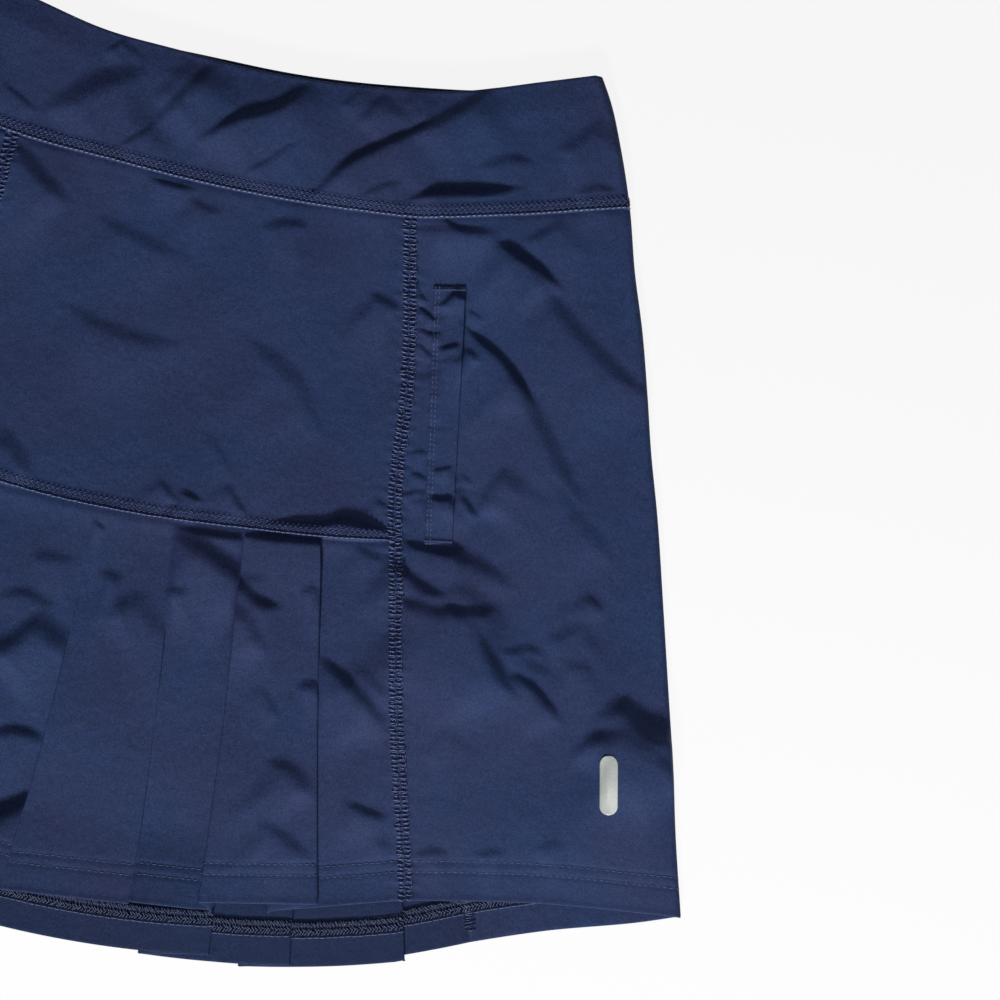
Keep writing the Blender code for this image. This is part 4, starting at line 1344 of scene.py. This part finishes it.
# %% Coverstitch
BACK_PITCH = 5.0  # the hidden back's stitches are longer, to save faces


def coverstitch(name, outer, pitch=2.7, edge_thread=PALE_THREAD):
    """The needle rows, the crossing looper and the bright row on an edge."""
    dots, crossings = [], []
    for number, distance in enumerate(COVER_ROWS):
        row = evenly(*line_inside(outer, "bottom", distance), pitch)
        shift = pitch / 2 * (number % 2)
        dots.append(thread_runs(row, -0.15, 0.15, shift - 0.62, shift + 0.62, 0.62, 0.16))
    for near, far in zip(COVER_ROWS, COVER_ROWS[1:]):
        row = evenly(*line_inside(outer, "bottom", (near + far) / 2), pitch)
        reach = (far - near) / 2
        crossings.append(thread_runs(row, -reach, reach, -0.5 * pitch, 0.0, 0.36, 0.12))
        crossings.append(thread_runs(row, reach, -reach, 0.0, 0.5 * pitch, 0.36, 0.14))
    row = evenly(*line_inside(outer, "bottom", 0.3), pitch)
    reach = 0.40 * pitch if edge_thread == PALE_THREAD else 0.62 * pitch
    beads = [thread_runs(row, -0.12, 0.12, -reach, reach, 0.78, 0.05, 0.08)]
    return [
        threads(name, crossings, DARK_THREAD),
        threads(name + "_dots", dots, NAVY_THREAD),
        threads(name + "_edge", beads, edge_thread),
    ]


waist_cover = coverstitch("waist_seam_thread", band_outer)
yoke_cover = coverstitch("yoke_seam_thread", yoke_outer, edge_thread=NAVY_THREAD)
waist_cover_back = coverstitch("waist_seam_thread_back", back_band_outer, BACK_PITCH)
yoke_cover_back = coverstitch("yoke_seam_thread_back", back_yoke_outer, BACK_PITCH)

# %% [markdown]
# ## Flatlocked seams
#
# Flatlock joins two edges without overlap and covers them with a ladder of thread, here in two columns. The
# bars sit unevenly, bunch up where the cloth puckers, and slant a little.

# %% Flatlock
INSIDE = 2 * WOVEN_WALL + 0.14  # from the face to the thread on a turned-up hem's other side


def flatlock_ladder(name, outer, edge, side, start, end, pitch=2.3, inside=0.0, finish=NAVY_THREAD):
    """One column of bars beside a flatlocked edge: side is 1 where the cloth lies left of the edge.

    Where inside isn't 0, the bars lie that far behind the face, on the cloth's other side.
    """
    line, normals = line_inside(outer, edge, 0.8)
    row = evenly(line - normals * inside, -normals if inside else normals, pitch)
    start, end = (side * (distance - 0.8) for distance in (start, end))
    third = (end - start) / 3
    runs = [
        thread_runs(row, start, end, -0.2, 0.25, 0.75, 0.36, 0.32),
        thread_runs(row, start + third, end, 0.75, 0.35, 0.45, 0.28, 0.4),
        thread_runs(row, end, end, -0.7, 0.9, 0.45, 0.26, 0.3),
    ]
    return threads(name, runs, finish)


for where, outer in (("yoke", yoke_outer), ("flounce", flounce_outer)):
    [
        flatlock_ladder(f"princess_thread_{where}_{name}", outer, name, side, -2.2, 1.2)
        for name, side in SIDE_OF.items()
    ]
SIDE_LADDERS = (  # side, grid, its front edge, pitch in front, rows of the hem's inside
    ("right", side_right_outer, "left", 2.3, slice(-30, -5)),
    ("left", side_left_outer, "right", 3.0, slice(-20, -4)),
)
for name, outer, front_side, pitch, low_rows in SIDE_LADDERS:
    side = SIDE_OF[name]
    inside = (outer[low_rows], name, -side, -2.8, 3.2, 1.9, INSIDE, DARK_THREAD)
    flatlock_ladder("princess_thread_side_" + name, outer, front_side, side, 0.3, 3.6, pitch)
    flatlock_ladder("princess_thread_back_" + name, outer[:-4], name, side, -3.0, 3.6, 4.0)
    flatlock_ladder("princess_thread_inside_" + name, *inside)

# %% [markdown]
# ## Hem stitches
#
# The hems are coverstitched from the inside: outside, two plain rows of needle thread show, 14 and 19.6 mm
# above the edge. Inside, the looper thread makes a braid over the raw edge of the turned-up cloth, which
# shows where the longer back hem lies below the front one.

# %% Hem stitches outside and inside
BRAID_AT = 18.8  # mm from the hem's edge, over the raw edge inside
# painted shade: two strips of thick near-black tubes under and beside the braid, where the hem's raw edge is
# shaded
BRAID_PAINTED_SHADE = (  # from_side, to_side, from_ahead, to_ahead, thick, lift, wander
    (-3.4, 0.1, 0.3, -0.3, 1.4, 0.0, 0.1),
    (-0.1, 4.6, 0.3, -0.3, 1.4, 0.0, 0.3),
)
BRAID_LOOPS = (  # the same, and fall
    (-0.3, -3.3, -1.3, 0.9, 0.40, 0.7, 0.20, 0.5),
    (-0.9, -3.2, -0.2, 1.5, 0.32, 0.62, 0.25, 0.45),
    (0.2, 2.0, 1.0, -0.8, 0.40, 0.66, 0.25, 0.0),
    (1.6, 3.6, -0.7, 1.0, 0.34, 0.66, 0.25, 0.2),
)
BRAID_NEEDLE = (4.8, 4.8, -1.7, 1.7, 0.45, 0.35, 0.06)


def hem_rows(name, outer, pitch):
    runs = []
    for distance in HEM_ROWS:
        row = evenly(*line_inside(outer, "bottom", distance), pitch)
        runs.append(thread_runs(row, 0, 0, -0.36 * pitch, 0.36 * pitch, 0.40, 0.06, 0.08))
    return threads(name, runs, NAVY_THREAD)


def hem_braid(name, outer, pitch):
    """The looper thread over the raw edge, on the inside of the turned-up hem, laid on tubes of painted
    shade.
    """
    line, normals = line_inside(outer, "bottom", BRAID_AT)
    row = evenly(line - normals * INSIDE, -normals, pitch)
    pressed = (row.up[:, 2] < 0.2) & (row.at[:, 2] < 3.0)  # where a pleat presses its layers together
    free = ~pressed & (np.abs(row.ahead[:, 2]) < 0.6)
    row = Row(*(part[free] for part in row))
    shade_strips = [thread_runs(row, *stitch) for stitch in BRAID_PAINTED_SHADE]
    loops = [thread_runs(row, *stitch) for stitch in BRAID_LOOPS]
    every_other = Row(*(part[::2] for part in row))
    loops.append(thread_runs(every_other, *BRAID_NEEDLE))
    return [threads(name, shade_strips, PAINTED_SHADE_THREAD), threads(name + "_loops", loops, BRAID_THREAD)]


HEMS = (  # where, grid, pitch of the rows, pitch of the braid
    ("side_right", side_right_outer, 3.2, 1.6),
    ("side_left", side_left_outer, 3.2, 2.0),
    ("back", back_flounce_outer, 4.0, 1.6),
)
hem_threads = {"flounce": [hem_rows("hem_thread_flounce", flounce_outer, 3.2)]}
for where, outer, row_pitch, braid_pitch in HEMS:
    rows = hem_rows("hem_thread_" + where, outer, row_pitch)
    hem_threads[where] = [rows, *hem_braid("hem_braid_and_shade_" + where, outer, braid_pitch)]

# %% [markdown]
# ## Welt stitches
#
# Two close rows hold the welt's inner edge, and a dense bar of stitches holds each end. A bar could be one
# solid strip, but close stitches across two short lines catch the light as real bartacks do.

# %% Welt stitches and bars
WELT_ROWS = (0.8, 2.6)
BAR_BEYOND, BAR_ROWS, WELT_WIDE = 0.3, (0.45, -1.2), 15.5  # one row off the welt's end, one on it
BAR_POINTS = 60


def welt_threads(name, outer, inner_edge, side):
    runs = []
    for distance in WELT_ROWS:
        row = evenly(*line_inside(outer, inner_edge, distance), 2.4)
        runs.append(thread_runs(row, 0, 0, -0.95, 0.95, 0.42, 0.06, 0.1))
    bars = []
    down = (outer[-1, 0] - outer[0, 0]) / np.linalg.norm(outer[-1, 0] - outer[0, 0])
    share = np.linspace(0, 1, BAR_POINTS)[:, None]
    from_edge = WELT_WIDE / 2 + 0.5 - np.abs(share[:, 0] - 0.5) * (WELT_WIDE + 2 * BAR_BEYOND)
    for end, step in ((0, -1), (-1, 1)):
        first, last = outer[end, 0], outer[end, -1]
        reach = BAR_BEYOND * (last - first) / np.linalg.norm(last - first)
        for distance in BAR_ROWS:
            line = between(first - reach, last + reach, share) + down * step * distance
            on_welt = smooth(from_edge / 0.5) * (distance < 0)
            line[:, 2] = side_top(line[:, 0], line[:, 1], side) + 0.15 + (WELT_WALL + 0.3) * on_welt
            row = evenly(line, np.tile((0.0, 0.0, 1.0), (BAR_POINTS, 1)), 0.75)
            bars.append(thread_runs(row, -0.5, 0.5, -0.25, 0.25, 0.5, 0.12, 0.08))
    return [threads(name + "_bars", bars, NAVY_THREAD), threads(name, runs, NAVY_THREAD)]


welt_threads_right = welt_threads("welt_thread_right", welt_right_outer, "left", 1)
welt_threads_left = welt_threads("welt_thread_left", welt_left_outer, "right", -1)

# %% [markdown]
# ## A small reflective mark
#
# A plain pill of silver film is heat-pressed near the side hem, as on many sports clothes. It is a generic
# shape. The film is glass beads on aluminium, so it looks pale grey and slightly uneven.

# %% Reflective pill
MARK_AT, MARK_LONG, MARK_WIDE = (258.5, -261.0), 30.0, 9.0
FILM = 0.15


def reflective_film(name):
    material, tree, shader = new_finish(name)
    place = add(tree, "TexCoord").outputs["Object"]
    beads = noise(tree, place, 1.2 * MM)
    grey = scaled(tree, linear("b9bdb9")[:3], spread(tree, beads, 0.3, 0.7, 0.92, 1.06))
    grit = bump(tree, beads, 0.4, 0.05 * MM)
    plug(shader, Base_Color=grey, Normal=grit, Roughness=0.5, Metallic=0.15)
    return material


u, v = np.meshgrid(np.linspace(-1, 1, 19), np.linspace(1, -1, 61))
along = v * MARK_LONG / 2
round_end = np.maximum(np.abs(along) - (MARK_LONG - MARK_WIDE) / 2, 0)
half = np.sqrt(np.maximum((MARK_WIDE / 2) ** 2 - round_end**2, 0.01))
lean = TURN  # it stands upright in the frame
x = MARK_AT[0] + u * half * math.cos(lean) - along * math.sin(lean)
y = MARK_AT[1] + u * half * math.sin(lean) + along * math.cos(lean)
rows, columns = x.shape
mark_outer = np.zeros((rows, columns, 3))
for r, c in np.ndindex(rows, columns):
    above = Vector((x[r, c] * MM, (y[r, c] + ORIGIN_UP) * MM, 0.1))
    _, place, _, _ = side_panel_right.ray_cast(above, Vector((0, 0, -1)))
    mark_outer[r, c] = np.array(place) / MM + (0, -ORIGIN_UP, FILM + 0.1)
cloth_below = mark_outer[:, :, 2].copy()
for _ in range(30):  # stiff film evens out the small bumps
    mark_outer[1:-1, :, 2] = (mark_outer[:-2, :, 2] + 2 * mark_outer[1:-1, :, 2] + mark_outer[2:, :, 2]) / 4
    mark_outer[:, 1:-1, 2] = (mark_outer[:, :-2, 2] + 2 * mark_outer[:, 1:-1, 2] + mark_outer[:, 2:, 2]) / 4
mark_outer[:, :, 2] = np.maximum(mark_outer[:, :, 2] + 0.15, cloth_below)
number = np.arange(rows * columns).reshape(rows, columns)
quads = np.stack([number[:-1, :-1], number[1:, :-1], number[1:, 1:], number[:-1, 1:]], -1).reshape(-1, 4)
mark_uv = np.stack([u, v], -1).reshape(-1, 2)
film = reflective_film("silver_reflective_film")
reflective_mark = new_piece("reflective_mark", mark_outer.reshape(-1, 3), quads, "cut", mark_uv, film)
bpy.ops.object.select_all(action="DESELECT")
bpy.context.view_layer.objects.active = reflective_mark
film_wall = reflective_mark.modifiers.new("film", "SOLIDIFY")
film_wall.thickness = FILM * MM
bpy.ops.object.modifier_apply(modifier="film")
print("mark has", len(reflective_mark.data.polygons), "faces")

# %% [markdown]
# ## What each sheet was cut to
#
# A cutter wants each piece's flat size, which is measured here and not kept. The widths run along the cloth,
# so a pleated strip counts its hidden layers and a side panel its way round the side, and each length
# includes the turned-up hem.

def declare(outer, wrap=False):
    """Measures a sheet's flat size along its own rows and columns, and keeps nothing of it."""
    across, down = lengths(outer, 1)[:, -1], lengths(outer, 0)[-1]
    if wrap:
        across = across + np.linalg.norm(outer[:, 0] - outer[:, -1], axis=1)


declare(band_outer)
declare(back_band_outer)
declare(yoke_outer)
declare(back_yoke_outer)
declare(side_right_outer)
declare(side_left_outer)
declare(flounce_outer)
declare(back_flounce_outer)
declare(welt_right_outer)
declare(welt_left_outer)
declare(leg_right_outer, wrap=True)
declare(leg_left_outer, wrap=True)

# %% [markdown]
# ## The table
#
# The garment lies on a white acrylic table that is lit from below, which is how a product is shown without a
# hard shadow round it. Most of its brightness is its own, so only a faint shadow falls on it.

# %% Table
bpy.ops.object.select_all(action="DESELECT")
bpy.ops.mesh.primitive_plane_add(size=6.0, location=(0, 0, 0))
floor = bpy.context.object
floor.name = "floor"
acrylic, tree, shader = new_finish("lit_white_acrylic")
place = add(tree, "SeparateXYZ", Vector=add(tree, "TexCoord").outputs["Object"]).outputs["Y"]
# painted light: the glow is brighter on the hem's side, where the lamp stands, and fades towards the waist
glow_and_painted_falloff = spread(tree, place, -0.25, 0.25, 0.950, 0.885)  # a little dimmer towards the waist
plug(shader, Base_Color=(0.05, 0.05, 0.05, 1.0), Roughness=0.8, Specular_IOR_Level=0.0)
plug(shader, Emission_Color=linear("ffffff"), Emission_Strength=glow_and_painted_falloff)
floor.data.materials.append(acrylic)
print("the table is", round(floor.dimensions.x, 1), "m wide")
